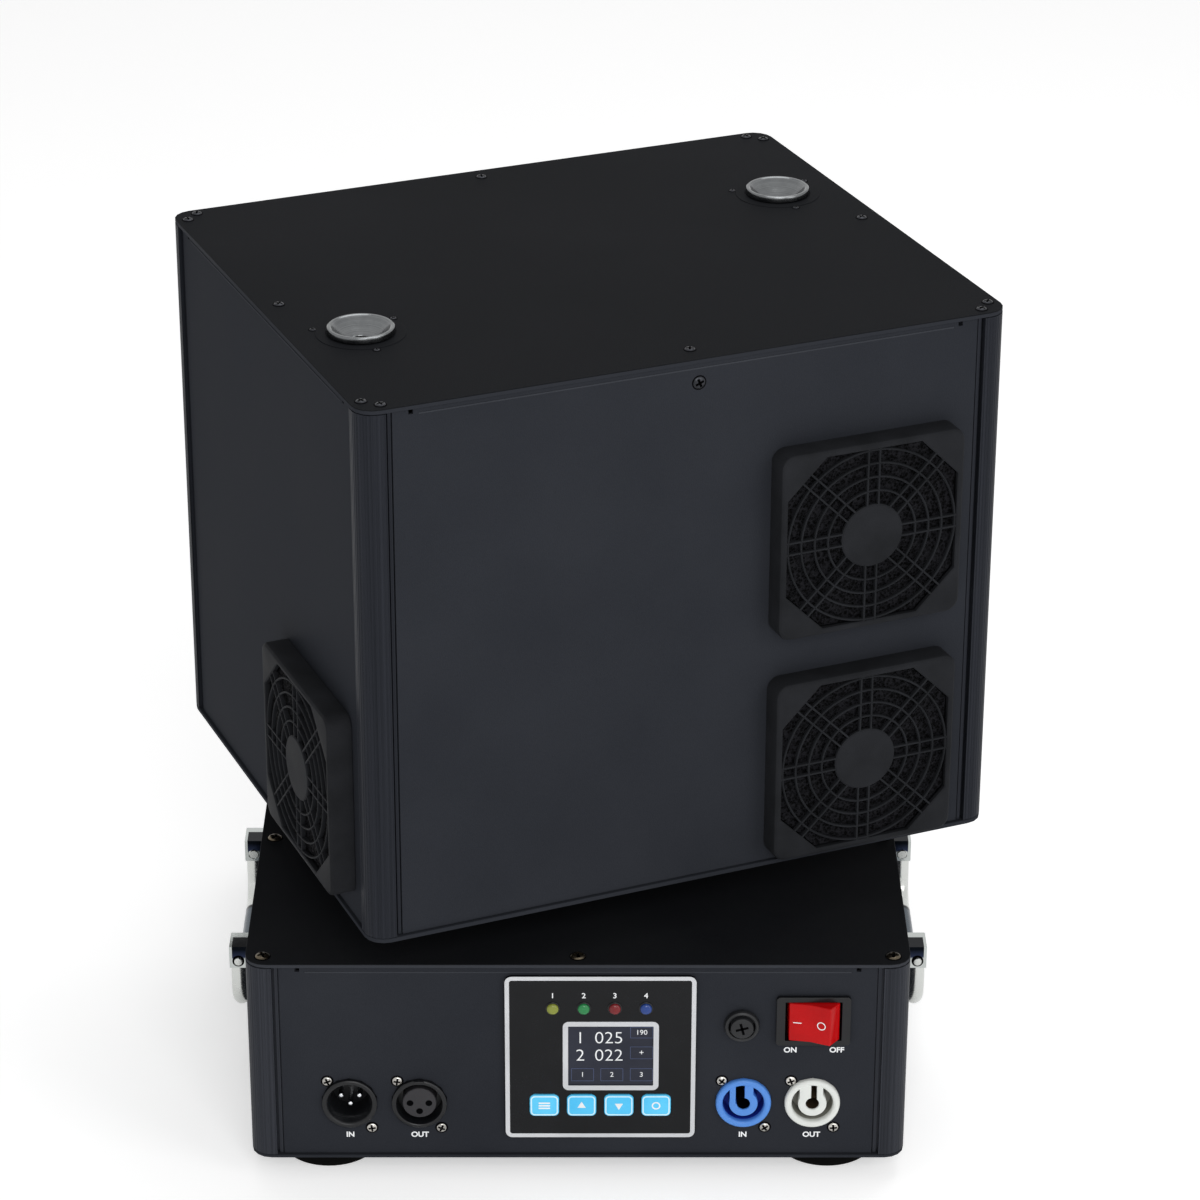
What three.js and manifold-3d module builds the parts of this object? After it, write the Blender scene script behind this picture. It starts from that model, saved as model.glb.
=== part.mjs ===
// Rotating double cold spark machine: a base box with controls and carrying handles, and a box
// with two spark nozzles and six cooling fans that turns on it. Millimetres, +Z up, front at -Y.
// The origin is on the floor, under the axis that the upper box turns about.
import * as THREE from "three";
import { mergeVertices } from "three/addons/utils/BufferGeometryUtils.js";
import Module from "manifold-3d";

const wasm = await Module();
wasm.setup();

// Clearances
const seatGap = 0.3; // between a piece and what it sits on or runs in
const overrun = 1; // how far a cutter passes the face that it cuts

// Base box
const base = { side: 286, height: 98, radius: 9, bottomPlate: 1.5, topPlate: 2 };
const foot = { height: 12, radius: 22, topRadius: 20, inset: 33, dishRadius: 9, dishDepth: 4 };

// Turning box
const head = { length: 290, depth: 246, height: 243, lift: 24, plate: 2 };
const restTurn = 22.6; // degrees, anticlockwise seen from above

// Corner extrusions, shared by both boxes
const post = { face: 11.5, groove: 3, seat: 7.5, wall: 2.2, core: 12 };
const flute = { count: 5, depth: 0.6, width: 1.2 };
const port = { radius: 1.7, inset: 7.2, sides: 6 };

// Side panels, folded from sheet
const sheet = { thickness: 1.5, recess: 1.4, fold: 10, endTab: 9 };
const notch = { width: 2, depth: 2.2 };

// Fan guards and fans
const guard = { side: 85, radius: 6, proud: 11, face: 2.2, wall: 1.8 };
const opening = { flats: 79, cut: 17.5 }; // square window with its corners cut off
const grille = { hubRadius: 14.2, rings: 4, bar: 1.2, pairSpacing: 5.2, spokes: 8, weld: 0.1 };
const fan = { hole: 38.2, hubRadius: 13, reach: 36, depth: 9, blades: 5 };
const fanShares = { root: 0.6, tip: 0.3, pitch: 0.45 }; // of the angle from one blade to the next
const fanMount = { width: 5, strut: 2.5, lap: 2, tipGap: 1.5, pin: 2.6 };
const fanPlace = { longInset: 66, longRise: 48.5, spacing: 106, shortInset: 64, shortRise: 55.5 };

// Nozzles and the screws that feed them
const nozzle = { inset: 30, y: 43, radius: 14.25, proud: 3.2, lip: 1.6, bore: 6.2, funnel: 6.4 };
const barrel = { wall: 4.5, length: 92, floor: 4 };
const auger = { length: 66, blade: 2.4, turns: 3, steps: 18 };

// Turntable and its drive
const spindle = { radius: 34, wall: 10, gearDrop: 18, gearWidth: 8, sides: 24 };
const bearing = { collarWall: 7.4, flange: 62, neck: 48, flangeHeight: 8 };
const gear = { module: 3.6, teeth: 24, pinionTeeth: 8, backlash: 0.1, tipShare: 0.8, rootShare: 1.1 };
const toothShares = [-0.33, -0.11, 0.11, 0.33]; // tooth flanks, as shares of one tooth's angle
const motor = { side: 42, corner: 5, gap: 4, boss: 11, bossHeight: 2, shaft: 2.5, tip: 1.5 };

// Carrying handles
const bracket = { y: 49.5, bottom: 44.9, top: 55.7, reach: 15.6, strip: 2, ear: 2, stopGap: 1.2 };
const bail = { radius: 4, axisOut: 11.5, pivotHeight: 48.5, tail: 2.6, drop: 26, bend: 10, sides: 8 };
const pivot = { radius: 2, sides: 6 };

// Controls on the front panel: x from the middle, z from the underside of the bottom plate
const overlay = { x: 9.7, below: 10.6, above: 5.9, width: 82.8, radius: 3, proud: 1.2, inset: 5, depth: 9 };
const screen = { shift: 4.5, width: 36.9, height: 29.9, recess: 0.6 };
const key = { width: 12.8, height: 10.7, radius: 2, pitch: 16.2, proud: 0.8, length: 5 };
const lamp = { shift: -0.5, radius: 2.3, pitch: 13.4, proud: 1.6 };
const overlayShares = { key: 0.206, screen: 0.511, lamp: 0.805 }; // heights up the overlay
const keyTravel = 0.8;
const signal = { x: [-99.4, -69], z: 27.6, radius: 12, proud: 1.9, cup: 8.6, depth: 16 };
const insert = { radius: 7.4, gap: 2.6, sink: 1.4, depth: 8 };
const pin = { radius: 1.2, circle: 4.1, length: 9 };
const pinAngles = [180, 0, 270]; // degrees, from the right
const supply = { x: [72, 102], z: 27.8, radius: 12.1, proud: 1.9, slot: 9, core: 6.2, bore: 3.1, depth: 10 };
const keyways = [
  { left: 3.4, right: 0.5, webLeft: 6, webRight: 4.3 },
  { left: 0.6, right: 1.9, webLeft: 5.6, webRight: 4.6 },
]; // inlet's and outlet's, on each side of the connector's middle
const flangePlate = { width: 26, height: 31, thickness: 2.5 };
const fuse = { x: 70.7, drop: 30.7, radius: 7, proud: 7.5, flange: 8.5, flangeHeight: 1.6, slot: 1.6, slotDepth: 1.5 };
const rockerSwitch = { x: 101.5, drop: 28.1, width: 32, height: 24, sideRim: 3.8, endRim: 2.4, lip: 2, body: 20 };
const rocker = { tilt: 16, crest: 6.5, valley: 5.4, draft: 2.5, back: 6, waist: 3.5, sink: 1.2 };

// Places worked out from the sizes above
const nozzleX = head.length / 2 - nozzle.inset;
const overlayHeight = base.height - overlay.below - overlay.above;
const overlayZ = overlay.below + overlayHeight / 2;
const fuseZ = base.height - fuse.drop;
const switchZ = base.height - rockerSwitch.drop;
const rebate = sheet.recess + sheet.thickness + seatGap;
const baseFloor = foot.height;
const baseTop = baseFloor + base.height;
const headFloor = baseTop + head.lift;
const gearBottom = baseTop - spindle.gearDrop;
const gearTop = gearBottom + spindle.gearWidth;
const panelEdge = post.face + post.groove;
const quarter = Math.PI / 2;

// Materials
function finish(color, roughness, metalness) {
  return new THREE.MeshStandardMaterial({ color, roughness, metalness });
}
const satinBlack = finish(0x2b2d33, 0.45, 0.3);
const plateBlack = finish(0x1b1c1f, 0.6, 0.2);
const anodised = finish(0x303238, 0.35, 0.7);
const guardPlastic = finish(0x1a1b1d, 0.6, 0);
const rubber = finish(0x141414, 0.9, 0);
const chrome = finish(0xd8dade, 0.12, 1);
const steel = finish(0x9a9da2, 0.3, 1);
const brass = finish(0xb08d3c, 0.3, 1);
const overlayBlack = finish(0x0c0d0f, 0.15, 0);
const keyBlue = finish(0x4fc3f2, 0.4, 0);
const moulded = finish(0x101012, 0.5, 0);
const rockerRed = finish(0xd2141c, 0.2, 0);
const inletBlue = finish(0x2a6fd6, 0.4, 0);
const outletGrey = finish(0xdcdde0, 0.4, 0);

// Solid helpers
function solidOf(geometry) {
  const bare = geometry.clone();
  bare.deleteAttribute("normal");
  bare.deleteAttribute("uv");
  const merged = mergeVertices(bare, 1e-4);
  return new wasm.Manifold(
    new wasm.Mesh({
      numProp: 3,
      vertProperties: merged.attributes.position.array,
      triVerts: new Uint32Array(merged.index.array),
    }),
  );
}

function geometryOf(solid) {
  const mesh = solid.getMesh();
  const geometry = new THREE.BufferGeometry();
  geometry.setAttribute("position", new THREE.BufferAttribute(mesh.vertProperties, 3));
  geometry.setIndex(new THREE.BufferAttribute(mesh.triVerts, 1));
  geometry.computeVertexNormals();
  return geometry;
}

function join(first, ...others) {
  const sum = others.reduce((solid, other) => solid.add(solidOf(other)), solidOf(first));
  return geometryOf(sum);
}

function cut(body, ...tools) {
  const rest = tools.reduce((solid, tool) => solid.subtract(solidOf(tool)), solidOf(body));
  return geometryOf(rest);
}

// Outline helpers
function arc(x, y, radius, start, end, steps) {
  return Array.from({ length: steps + 1 }, (_, i) => {
    const angle = start + ((end - start) * i) / steps;
    return new THREE.Vector2(x + radius * Math.cos(angle), y + radius * Math.sin(angle));
  });
}

function circle(radius, sides, x = 0, y = 0) {
  return arc(x, y, radius, Math.PI / sides, 2 * Math.PI + Math.PI / sides, sides).slice(0, -1);
}

function roundedBox(width, height, radius, steps, x = 0, y = 0) {
  const right = width / 2 - radius;
  const up = height / 2 - radius;
  const corners = [[right, up], [-right, up], [-right, -up], [right, -up]];
  return corners.flatMap(([cx, cy], i) =>
    arc(x + cx, y + cy, radius, i * quarter, (i + 1) * quarter, steps),
  );
}

function rectangle(left, bottom, right, top) {
  return [
    new THREE.Vector2(left, bottom),
    new THREE.Vector2(right, bottom),
    new THREE.Vector2(right, top),
    new THREE.Vector2(left, top),
  ];
}

function prism(points, depth, holes = [], steps = 1) {
  const shape = new THREE.Shape(points);
  shape.holes = holes.map((hole) => new THREE.Path(hole));
  return new THREE.ExtrudeGeometry(shape, { depth, steps, bevelEnabled: false });
}

// Radius of a polygon hole whose flats clear a round piece of the given radius
function clearing(radius, sides) {
  return (radius + seatGap) / Math.cos(Math.PI / sides);
}

function turned(profile, sides) {
  const points = profile.map(([radius, height]) => new THREE.Vector2(radius, height));
  return new THREE.LatheGeometry(points, sides).rotateX(quarter).rotateZ(quarter + Math.PI / sides);
}

// A shape drawn face on, with its depth towards the viewer, moved to one side of a box.
// Sides are counted anticlockwise from the front: 0 front, 1 right, 2 rear, 3 left.
function onSide(geometry, side, distance) {
  return geometry.rotateX(quarter).translate(0, -distance, 0).rotateZ(side * quarter);
}

function addPiece(group, name, geometry, material) {
  const mesh = new THREE.Mesh(geometry, material);
  mesh.name = name;
  group.add(mesh);
  return mesh;
}

// Corner post: a rounded, fluted face, a rebate that the panels lie in, and a screw port
function flutedPoint(along, depth) {
  const straight = post.face - base.radius;
  const bend = quarter * base.radius;
  if (along < straight) return new THREE.Vector2(post.face - along, depth);
  if (along > straight + bend) {
    return new THREE.Vector2(depth, base.radius + along - straight - bend);
  }
  const angle = -quarter - (along - straight) / base.radius;
  const radius = base.radius - depth;
  return new THREE.Vector2(
    base.radius + radius * Math.cos(angle),
    base.radius + radius * Math.sin(angle),
  );
}

function postOutline() {
  const total = 2 * (post.face - base.radius) + quarter * base.radius;
  const outer = [flutedPoint(0, 0)];
  for (let i = 0; i < flute.count; i += 1) {
    const middle = (total * (i + 0.5)) / flute.count;
    outer.push(flutedPoint(middle - flute.width / 2, 0));
    outer.push(flutedPoint(middle, flute.depth));
    outer.push(flutedPoint(middle + flute.width / 2, 0));
  }
  outer.push(flutedPoint(total, 0));
  const reach = panelEdge + post.seat;
  const inner = rebate + post.wall;
  const side = [
    [rebate, post.face],
    [rebate, reach],
    [inner, reach],
    [inner, post.core],
    [post.core, post.core],
    [post.core, inner],
    [reach, inner],
    [reach, rebate],
    [post.face, rebate],
  ];
  return outer.concat(side.map(([x, y]) => new THREE.Vector2(x, y)));
}

function addPosts(group, prefix, length, depth, bottom, height) {
  const names = ["front_left", "front_right", "rear_right", "rear_left"];
  const corners = [[-1, -1], [1, -1], [1, 1], [-1, 1]];
  const screwPort = circle(port.radius, port.sides, port.inset, port.inset);
  names.forEach((name, i) => {
    const bar = prism(postOutline(), height, [screwPort]).rotateZ(i * quarter);
    bar.translate((corners[i][0] * length) / 2, (corners[i][1] * depth) / 2, bottom);
    addPiece(group, `${prefix}_${name}_post`, bar, anodised);
  });
}

// Side panel: a sheet whose top edge is folded inwards between two end tabs, with a relief
// notch at each end of the fold. It is drawn from the middle of its bottom edge.
function panelSheet(width, height, holes) {
  const half = width / 2;
  const fold = half - sheet.endTab;
  const low = height - notch.depth;
  const points = [
    [-half, 0],
    [half, 0],
    [half, height],
    [fold + notch.width, height],
    [fold + notch.width, low],
    [fold, low],
    [fold, height],
    [-fold, height],
    [-fold, low],
    [-fold - notch.width, low],
    [-fold - notch.width, height],
    [-half, height],
  ].map(([x, y]) => new THREE.Vector2(x, y));
  const flat = prism(points, sheet.thickness);
  const flange = new THREE.BoxGeometry(2 * fold, sheet.thickness, sheet.fold);
  flange.translate(0, height - sheet.thickness / 2, sheet.thickness - sheet.fold / 2);
  const punches = holes.map((hole) => {
    const punch = prism(hole, sheet.thickness + 2 * overrun);
    return punch.translate(0, 0, -overrun);
  });
  return cut(join(flat, flange), ...punches);
}

function panelDistance(boxSize) {
  return boxSize / 2 - sheet.recess - sheet.thickness;
}

// Base box
function addBase(group) {
  const bottom = roundedBox(base.side, base.side, base.radius, 4);
  const floor = prism(bottom, base.bottomPlate).translate(0, 0, baseFloor);
  addPiece(group, "base_bottom_plate", floor, plateBlack);

  const collar = clearing(spindle.radius, spindle.sides) + bearing.collarWall;
  const collarHole = circle(collar + seatGap, spindle.sides);
  const lid = prism(bottom, base.topPlate, [collarHole]);
  addPiece(group, "base_top_plate", lid.translate(0, 0, baseTop - base.topPlate), plateBlack);

  const low = baseFloor + base.bottomPlate + seatGap;
  const height = baseTop - base.topPlate - seatGap - low;
  addPosts(group, "base", base.side, base.side, low, height);

  const width = base.side - 2 * panelEdge;
  const names = ["front", "right", "rear", "left"];
  names.forEach((name, side) => {
    const holes = side === 0 ? frontPanelHoles(low) : [];
    const panel = onSide(panelSheet(width, height, holes), side, panelDistance(base.side));
    addPiece(group, `base_${name}_panel`, panel.translate(0, 0, low), satinBlack);
  });
}

function frontPanelHoles(low) {
  const drop = baseFloor - low;
  const round = (radius, x, z) => circle(radius + seatGap, 14, x, z + drop);
  const switchWidth = (rockerSwitch.width - rockerSwitch.sideRim) / 2 + seatGap;
  const switchHeight = (rockerSwitch.height - rockerSwitch.endRim) / 2 + seatGap;
  const windowX = overlay.width / 2 - overlay.inset + seatGap;
  const windowZ = overlayHeight / 2 - overlay.inset + seatGap;
  const window = (x, z, halfWidth, halfHeight) =>
    rectangle(x - halfWidth, z + drop - halfHeight, x + halfWidth, z + drop + halfHeight);
  return [
    ...signal.x.map((x) => round(signal.radius, x, signal.z)),
    ...supply.x.map((x) => round(supply.radius, x, supply.z)),
    round(fuse.radius, fuse.x, fuseZ),
    window(rockerSwitch.x, switchZ, switchWidth, switchHeight),
    window(overlay.x, overlayZ, windowX, windowZ),
  ];
}

function addFeet(group) {
  const names = ["front_left", "front_right", "rear_right", "rear_left"];
  const top = foot.height - seatGap;
  const profile = [
    [0, foot.dishDepth],
    [foot.dishRadius, foot.dishDepth],
    [foot.dishRadius, 0],
    [foot.radius, 0],
    [foot.topRadius, top],
    [0, top],
  ];
  const out = base.side / 2 - foot.inset;
  names.forEach((name, i) => {
    const pad = turned(profile, 14).translate(-out, -out, 0).rotateZ(i * quarter);
    addPiece(group, `foot_${name}`, pad, rubber);
  });
}

// Carrying handle: a strip with a clevis at each end, and a bail that hangs in the two clevises
function handleBracket() {
  const height = bracket.top - bracket.bottom;
  const slot = bail.radius + 2 * seatGap;
  const half = bracket.y + slot + bracket.ear;
  const block = new THREE.BoxGeometry(2 * half, height, bracket.reach);
  block.translate(0, bracket.bottom + height / 2, bracket.reach / 2);
  const inner = bracket.y - slot - bracket.ear;
  const between = new THREE.BoxGeometry(2 * inner, height + 2 * overrun, bracket.reach);
  between.translate(0, bracket.bottom + height / 2, bracket.strip + bracket.reach / 2);
  const ceiling = bail.pivotHeight + bail.radius + bracket.stopGap;
  const clevises = [-1, 1].map((end) =>
    new THREE.BoxGeometry(2 * slot, height, bracket.reach).translate(
      end * bracket.y,
      ceiling - height / 2,
      bracket.strip + bracket.reach / 2,
    ),
  );
  const bore = prism(circle(clearing(pivot.radius, pivot.sides), pivot.sides), 2 * (half + overrun));
  bore.rotateY(quarter).translate(-half - overrun, bail.pivotHeight, bail.axisOut);
  return cut(block, between, ...clevises, bore);
}

// The bail is a round bar along a U: down one leg, round a bend, along the grip and up again
function sweepBar(stations, radius, sides) {
  const position = [];
  const index = [];
  stations.forEach(({ x, y, turn }) => {
    for (let i = 0; i < sides; i += 1) {
      const angle = (2 * Math.PI * (i + 0.5)) / sides;
      const across = radius * Math.cos(angle);
      position.push(x + across * Math.cos(turn), y + across * Math.sin(turn), radius * Math.sin(angle));
    }
  });
  for (let ring = 0; ring < stations.length - 1; ring += 1) {
    for (let i = 0; i < sides; i += 1) {
      const next = (i + 1) % sides;
      const a = ring * sides + i;
      const b = ring * sides + next;
      index.push(a, b + sides, b, a, a + sides, b + sides);
    }
  }
  const last = (stations.length - 1) * sides;
  for (let i = 1; i < sides - 1; i += 1) {
    index.push(0, i, i + 1);
    index.push(last, last + i + 1, last + i);
  }
  const geometry = new THREE.BufferGeometry();
  geometry.setAttribute("position", new THREE.Float32BufferAttribute(position, 3));
  geometry.setIndex(index);
  return geometry.toNonIndexed();
}

function bailBar() {
  const low = bail.pivotHeight - bail.drop;
  const top = bail.pivotHeight + bail.tail;
  const steps = 2;
  const stations = [{ x: -bracket.y, y: top, turn: Math.PI }];
  for (const side of [-1, 1]) {
    for (let i = 0; i <= steps; i += 1) {
      const sweep = quarter * (side < 0 ? i / steps : 1 - i / steps);
      stations.push({
        x: side * (bracket.y - bail.bend + bail.bend * Math.cos(sweep)),
        y: low + bail.bend - bail.bend * Math.sin(sweep),
        turn: side < 0 ? Math.PI + sweep : 2 * Math.PI - sweep,
      });
    }
  }
  stations.push({ x: bracket.y, y: top, turn: 2 * Math.PI });
  const bar = sweepBar(stations, bail.radius, bail.sides);
  const stub = bail.radius + 2 * seatGap + bracket.ear;
  const pins = [-1, 1].map((end) =>
    prism(circle(pivot.radius, pivot.sides), 2 * stub)
      .rotateY(quarter)
      .translate(end * bracket.y - stub, bail.pivotHeight, 0),
  );
  return join(bar, ...pins).translate(0, 0, bail.axisOut);
}

function addHandles(group) {
  const distance = base.side / 2 - sheet.recess + seatGap;
  for (const [name, side] of [["right", 1], ["left", 3]]) {
    const plate = onSide(handleBracket(), side, distance).translate(0, 0, baseFloor);
    addPiece(group, `handle_bracket_${name}`, plate, chrome);
    const loop = onSide(bailBar(), side, distance).translate(0, 0, baseFloor);
    addPiece(group, `handle_bail_${name}`, loop, chrome);
  }
}

// Controls. Each is drawn face on with the front panel's outer face at depth zero.
function addControl(group, name, geometry, x, z, material) {
  const placed = onSide(geometry.translate(x, z, 0), 0, base.side / 2 - sheet.recess);
  addPiece(group, name, placed.translate(0, 0, baseFloor), material);
}

function row(item, pitch) {
  return [-1.5, -0.5, 0.5, 1.5].map((step) => item + step * pitch);
}

function onOverlay(share) {
  return (share - 0.5) * overlayHeight;
}

function addDisplay(group) {
  const front = prism(roundedBox(overlay.width, overlayHeight, overlay.radius, 2), overlay.proud);
  const back = new THREE.BoxGeometry(
    overlay.width - 2 * overlay.inset,
    overlayHeight - 2 * overlay.inset,
    overlay.depth,
  ).translate(0, 0, seatGap + overlay.proud - overlay.depth / 2);
  const face = seatGap + overlay.proud;
  const pocket = key.length - key.proud + keyTravel + seatGap;
  const keyHole = roundedBox(
    key.width + 2 * seatGap,
    key.height + 2 * seatGap,
    key.radius + seatGap,
    1,
  );
  const keyHoles = row(0, key.pitch).map((x) =>
    prism(keyHole, pocket + overrun).translate(x, onOverlay(overlayShares.key), face - pocket),
  );
  const window = new THREE.BoxGeometry(screen.width, screen.height, 2 * screen.recess);
  window.translate(screen.shift, onOverlay(overlayShares.screen), face);
  const dome = [
    [0, -overlay.proud / 2],
    [lamp.radius, -overlay.proud / 2],
    [lamp.radius, lamp.proud / 2],
    [0, lamp.proud],
  ];
  const domes = row(lamp.shift, lamp.pitch).map((x) =>
    turned(dome, 8).translate(x, onOverlay(overlayShares.lamp), face),
  );
  const plate = join(front.translate(0, 0, seatGap), back, ...domes);
  const panel = cut(plate, window, ...keyHoles);
  addControl(group, "display_overlay", panel, overlay.x, overlayZ, overlayBlack);

  row(overlay.x, key.pitch).forEach((x, i) => {
    const cap = prism(roundedBox(key.width, key.height, key.radius, 1), key.length);
    cap.translate(0, 0, face + key.proud - key.length);
    addControl(group, `key_${i + 1}`, cap, x, overlayZ + onOverlay(overlayShares.key), keyBlue);
  });
}

function flangedNose(item) {
  const flange = prism(
    rectangle(
      -flangePlate.width / 2,
      -flangePlate.height / 2,
      flangePlate.width / 2,
      flangePlate.height / 2,
    ),
    flangePlate.thickness,
  ).translate(0, 0, -sheet.thickness - seatGap - flangePlate.thickness);
  const back = item.proud - item.depth - 2 * flangePlate.thickness;
  const nose = prism(circle(item.radius, 14), item.proud - back).translate(0, 0, back);
  return join(flange, nose);
}

function addSignalSockets(group) {
  const bottom = signal.proud - signal.depth;
  const cup = prism(circle(signal.cup, 14), signal.depth + overrun).translate(0, 0, bottom);
  const places = pinAngles.map((angle) => THREE.MathUtils.degToRad(angle));
  const pinPlace = (angle, geometry, depth) =>
    geometry.translate(pin.circle * Math.cos(angle), pin.circle * Math.sin(angle), depth);
  const pins = places.map((angle) =>
    pinPlace(angle, prism(circle(pin.radius, 6), pin.length + overrun), bottom - overrun),
  );
  const inlet = join(cut(flangedNose(signal), cup), ...pins);
  addControl(group, "signal_inlet", inlet, signal.x[0], signal.z, moulded);

  const groove = prism(circle(insert.radius + insert.gap, 14), insert.depth + overrun, [
    circle(insert.radius, 14),
  ]).translate(0, 0, signal.proud - insert.depth);
  const shelf = prism(circle(insert.radius + overrun, 14), insert.sink + overrun);
  shelf.translate(0, 0, signal.proud - insert.sink);
  const holes = places.map((angle) =>
    pinPlace(angle, prism(circle(pin.radius + seatGap, 6), signal.depth + overrun), bottom),
  );
  const outlet = cut(flangedNose(signal), groove, shelf, ...holes);
  addControl(group, "signal_outlet", outlet, signal.x[1], signal.z, moulded);
}

function addPowerSockets(group) {
  const bottom = supply.proud - supply.depth;
  const reach = supply.depth + overrun;
  for (const [i, [name, material]] of [
    ["power_inlet", inletBlue],
    ["power_outlet", outletGrey],
  ].entries()) {
    const { left, right, webLeft, webRight } = keyways[i];
    const ring = prism(circle(supply.slot, 14), reach, [circle(supply.core, 14)]);
    const web = prism(rectangle(-webLeft, 0, webRight, supply.radius), reach + overrun);
    const groove = cut(ring, web.translate(0, 0, -overrun / 2));
    const bore = prism(circle(supply.bore, 12), reach);
    const keyway = prism(rectangle(-left, 0, right, supply.slot), reach);
    const slots = [groove, bore, keyway].map((slot) => slot.translate(0, 0, bottom));
    const body = cut(flangedNose(supply), ...slots);
    addControl(group, name, body, supply.x[i], supply.z, material);
  }
}

function addFuse(group) {
  const back = -sheet.thickness - 3 * fuse.radius;
  const body = turned(
    [
      [0, back],
      [fuse.radius, back],
      [fuse.radius, seatGap],
      [fuse.flange, seatGap],
      [fuse.flange, seatGap + fuse.flangeHeight],
      [fuse.radius, seatGap + fuse.flangeHeight],
      [fuse.radius - fuse.slotDepth / 2, fuse.proud],
      [0, fuse.proud],
    ],
    14,
  );
  const slots = [0, 1].map((turn) =>
    new THREE.BoxGeometry(fuse.radius, fuse.slot, 2 * fuse.slotDepth)
      .rotateZ(turn * quarter)
      .translate(0, 0, fuse.proud),
  );
  addControl(group, "fuse_holder", cut(body, ...slots), fuse.x, fuseZ, moulded);
}

function addSwitch(group) {
  const { width, height, sideRim, endRim, lip, body } = rockerSwitch;
  const bezel = prism(roundedBox(width, height, lip / 2, 1), lip).translate(0, 0, seatGap);
  const box = new THREE.BoxGeometry(width - sideRim, height - endRim, body);
  box.translate(0, 0, seatGap + lip / 2 - body / 2);
  const inside = new THREE.BoxGeometry(width - 2 * sideRim, height - 2 * endRim, body);
  inside.translate(0, 0, seatGap + lip + endRim - body / 2);
  const housing = cut(join(bezel, box), inside);
  addControl(group, "switch_housing", housing, rockerSwitch.x, switchZ, moulded);

  const half = width / 2 - sideRim - 2 * seatGap;
  const paddle = [
    [-half, 0],
    [rocker.waist - half, -rocker.back],
    [half - rocker.waist, -rocker.back],
    [half, 0],
    [half - rocker.draft, rocker.crest],
    [0, rocker.valley],
    [rocker.draft - half, rocker.crest],
  ].map(([x, y]) => new THREE.Vector2(x, -y));
  const length = height - 2 * endRim - 2 * seatGap;
  const tilt = THREE.MathUtils.degToRad(rocker.tilt);
  const lever = prism(paddle, length).translate(0, 0, -length / 2).rotateX(-quarter);
  lever.rotateY(-tilt).translate(0, 0, -rocker.sink);
  addControl(group, "switch_rocker", lever, rockerSwitch.x, switchZ, rockerRed);
}

// Turntable: a fixed bearing ring on the base, a hollow spindle with its gear, and the motor
function addBearing(group) {
  const inner = clearing(spindle.radius, spindle.sides);
  const collar = inner + bearing.collarWall;
  const plateTop = baseTop + seatGap;
  const ring = turned(
    [
      [inner, gearTop + seatGap],
      [collar, gearTop + seatGap],
      [collar, plateTop],
      [bearing.flange, plateTop],
      [bearing.flange, plateTop + bearing.flangeHeight],
      [bearing.neck, headFloor - seatGap],
      [inner, headFloor - seatGap],
      [inner, gearTop + seatGap],
    ],
    spindle.sides,
  );
  addPiece(group, "bearing_ring", ring, anodised);
}

function gearOutline(teeth) {
  const pitchRadius = (gear.module * teeth) / 2;
  const tip = pitchRadius + gear.tipShare * gear.module;
  const root = pitchRadius - gear.rootShare * gear.module;
  const radii = [root, tip, tip, root];
  return Array.from({ length: teeth * 4 }, (_, i) => {
    const angle = (2 * Math.PI * (Math.floor(i / 4) + toothShares[i % 4])) / teeth;
    return new THREE.Vector2(radii[i % 4] * Math.cos(angle), radii[i % 4] * Math.sin(angle));
  });
}

function addSpindle(group, turn) {
  const bore = circle(spindle.radius - spindle.wall, 20);
  const height = headFloor - seatGap - gearBottom;
  const tube = prism(circle(spindle.radius, spindle.sides), height, [bore]);
  const wheel = prism(gearOutline(gear.teeth), spindle.gearWidth, [bore]);
  const whole = join(tube, wheel).rotateZ(-turn).translate(0, 0, gearBottom - headFloor);
  addPiece(group, "turn_spindle", whole, steel);
}

const driveDistance = (gear.module * (gear.teeth + gear.pinionTeeth)) / 2 + gear.backlash;

function addMotor(group) {
  const half = motor.side / 2;
  const square = roundedBox(motor.side, motor.side, motor.corner, 1);
  const low = baseFloor + base.bottomPlate + seatGap;
  const top = gearBottom - motor.gap;
  const body = prism(square, top - low).translate(0, 0, low);
  const boss = prism(circle(motor.boss, 16), motor.bossHeight + half).translate(0, 0, top - half);
  const shaftTop = gearTop + motor.tip;
  const shaft = prism(circle(motor.shaft, 8), shaftTop - top + half).translate(0, 0, top - half);
  const whole = join(body, boss, shaft).translate(0, driveDistance, 0);
  addPiece(group, "turn_motor", whole, moulded);

  const bore = circle(clearing(motor.shaft, 8), 8);
  const wheel = prism(gearOutline(gear.pinionTeeth), spindle.gearWidth, [bore]);
  wheel.rotateZ(Math.PI / gear.pinionTeeth);
  wheel.translate(0, driveDistance, gearBottom);
  addPiece(group, "motor_pinion", wheel, brass);
}

// Turning box
function fanPlaces(side) {
  if (side % 2 === 0) {
    const x = head.length / 2 - fanPlace.longInset;
    return [0, 1].map((row) => [x, fanPlace.longRise + row * fanPlace.spacing]);
  }
  return [[head.depth / 2 - fanPlace.shortInset, fanPlace.shortRise]];
}

const headSides = ["front", "right", "rear", "left"];

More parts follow.
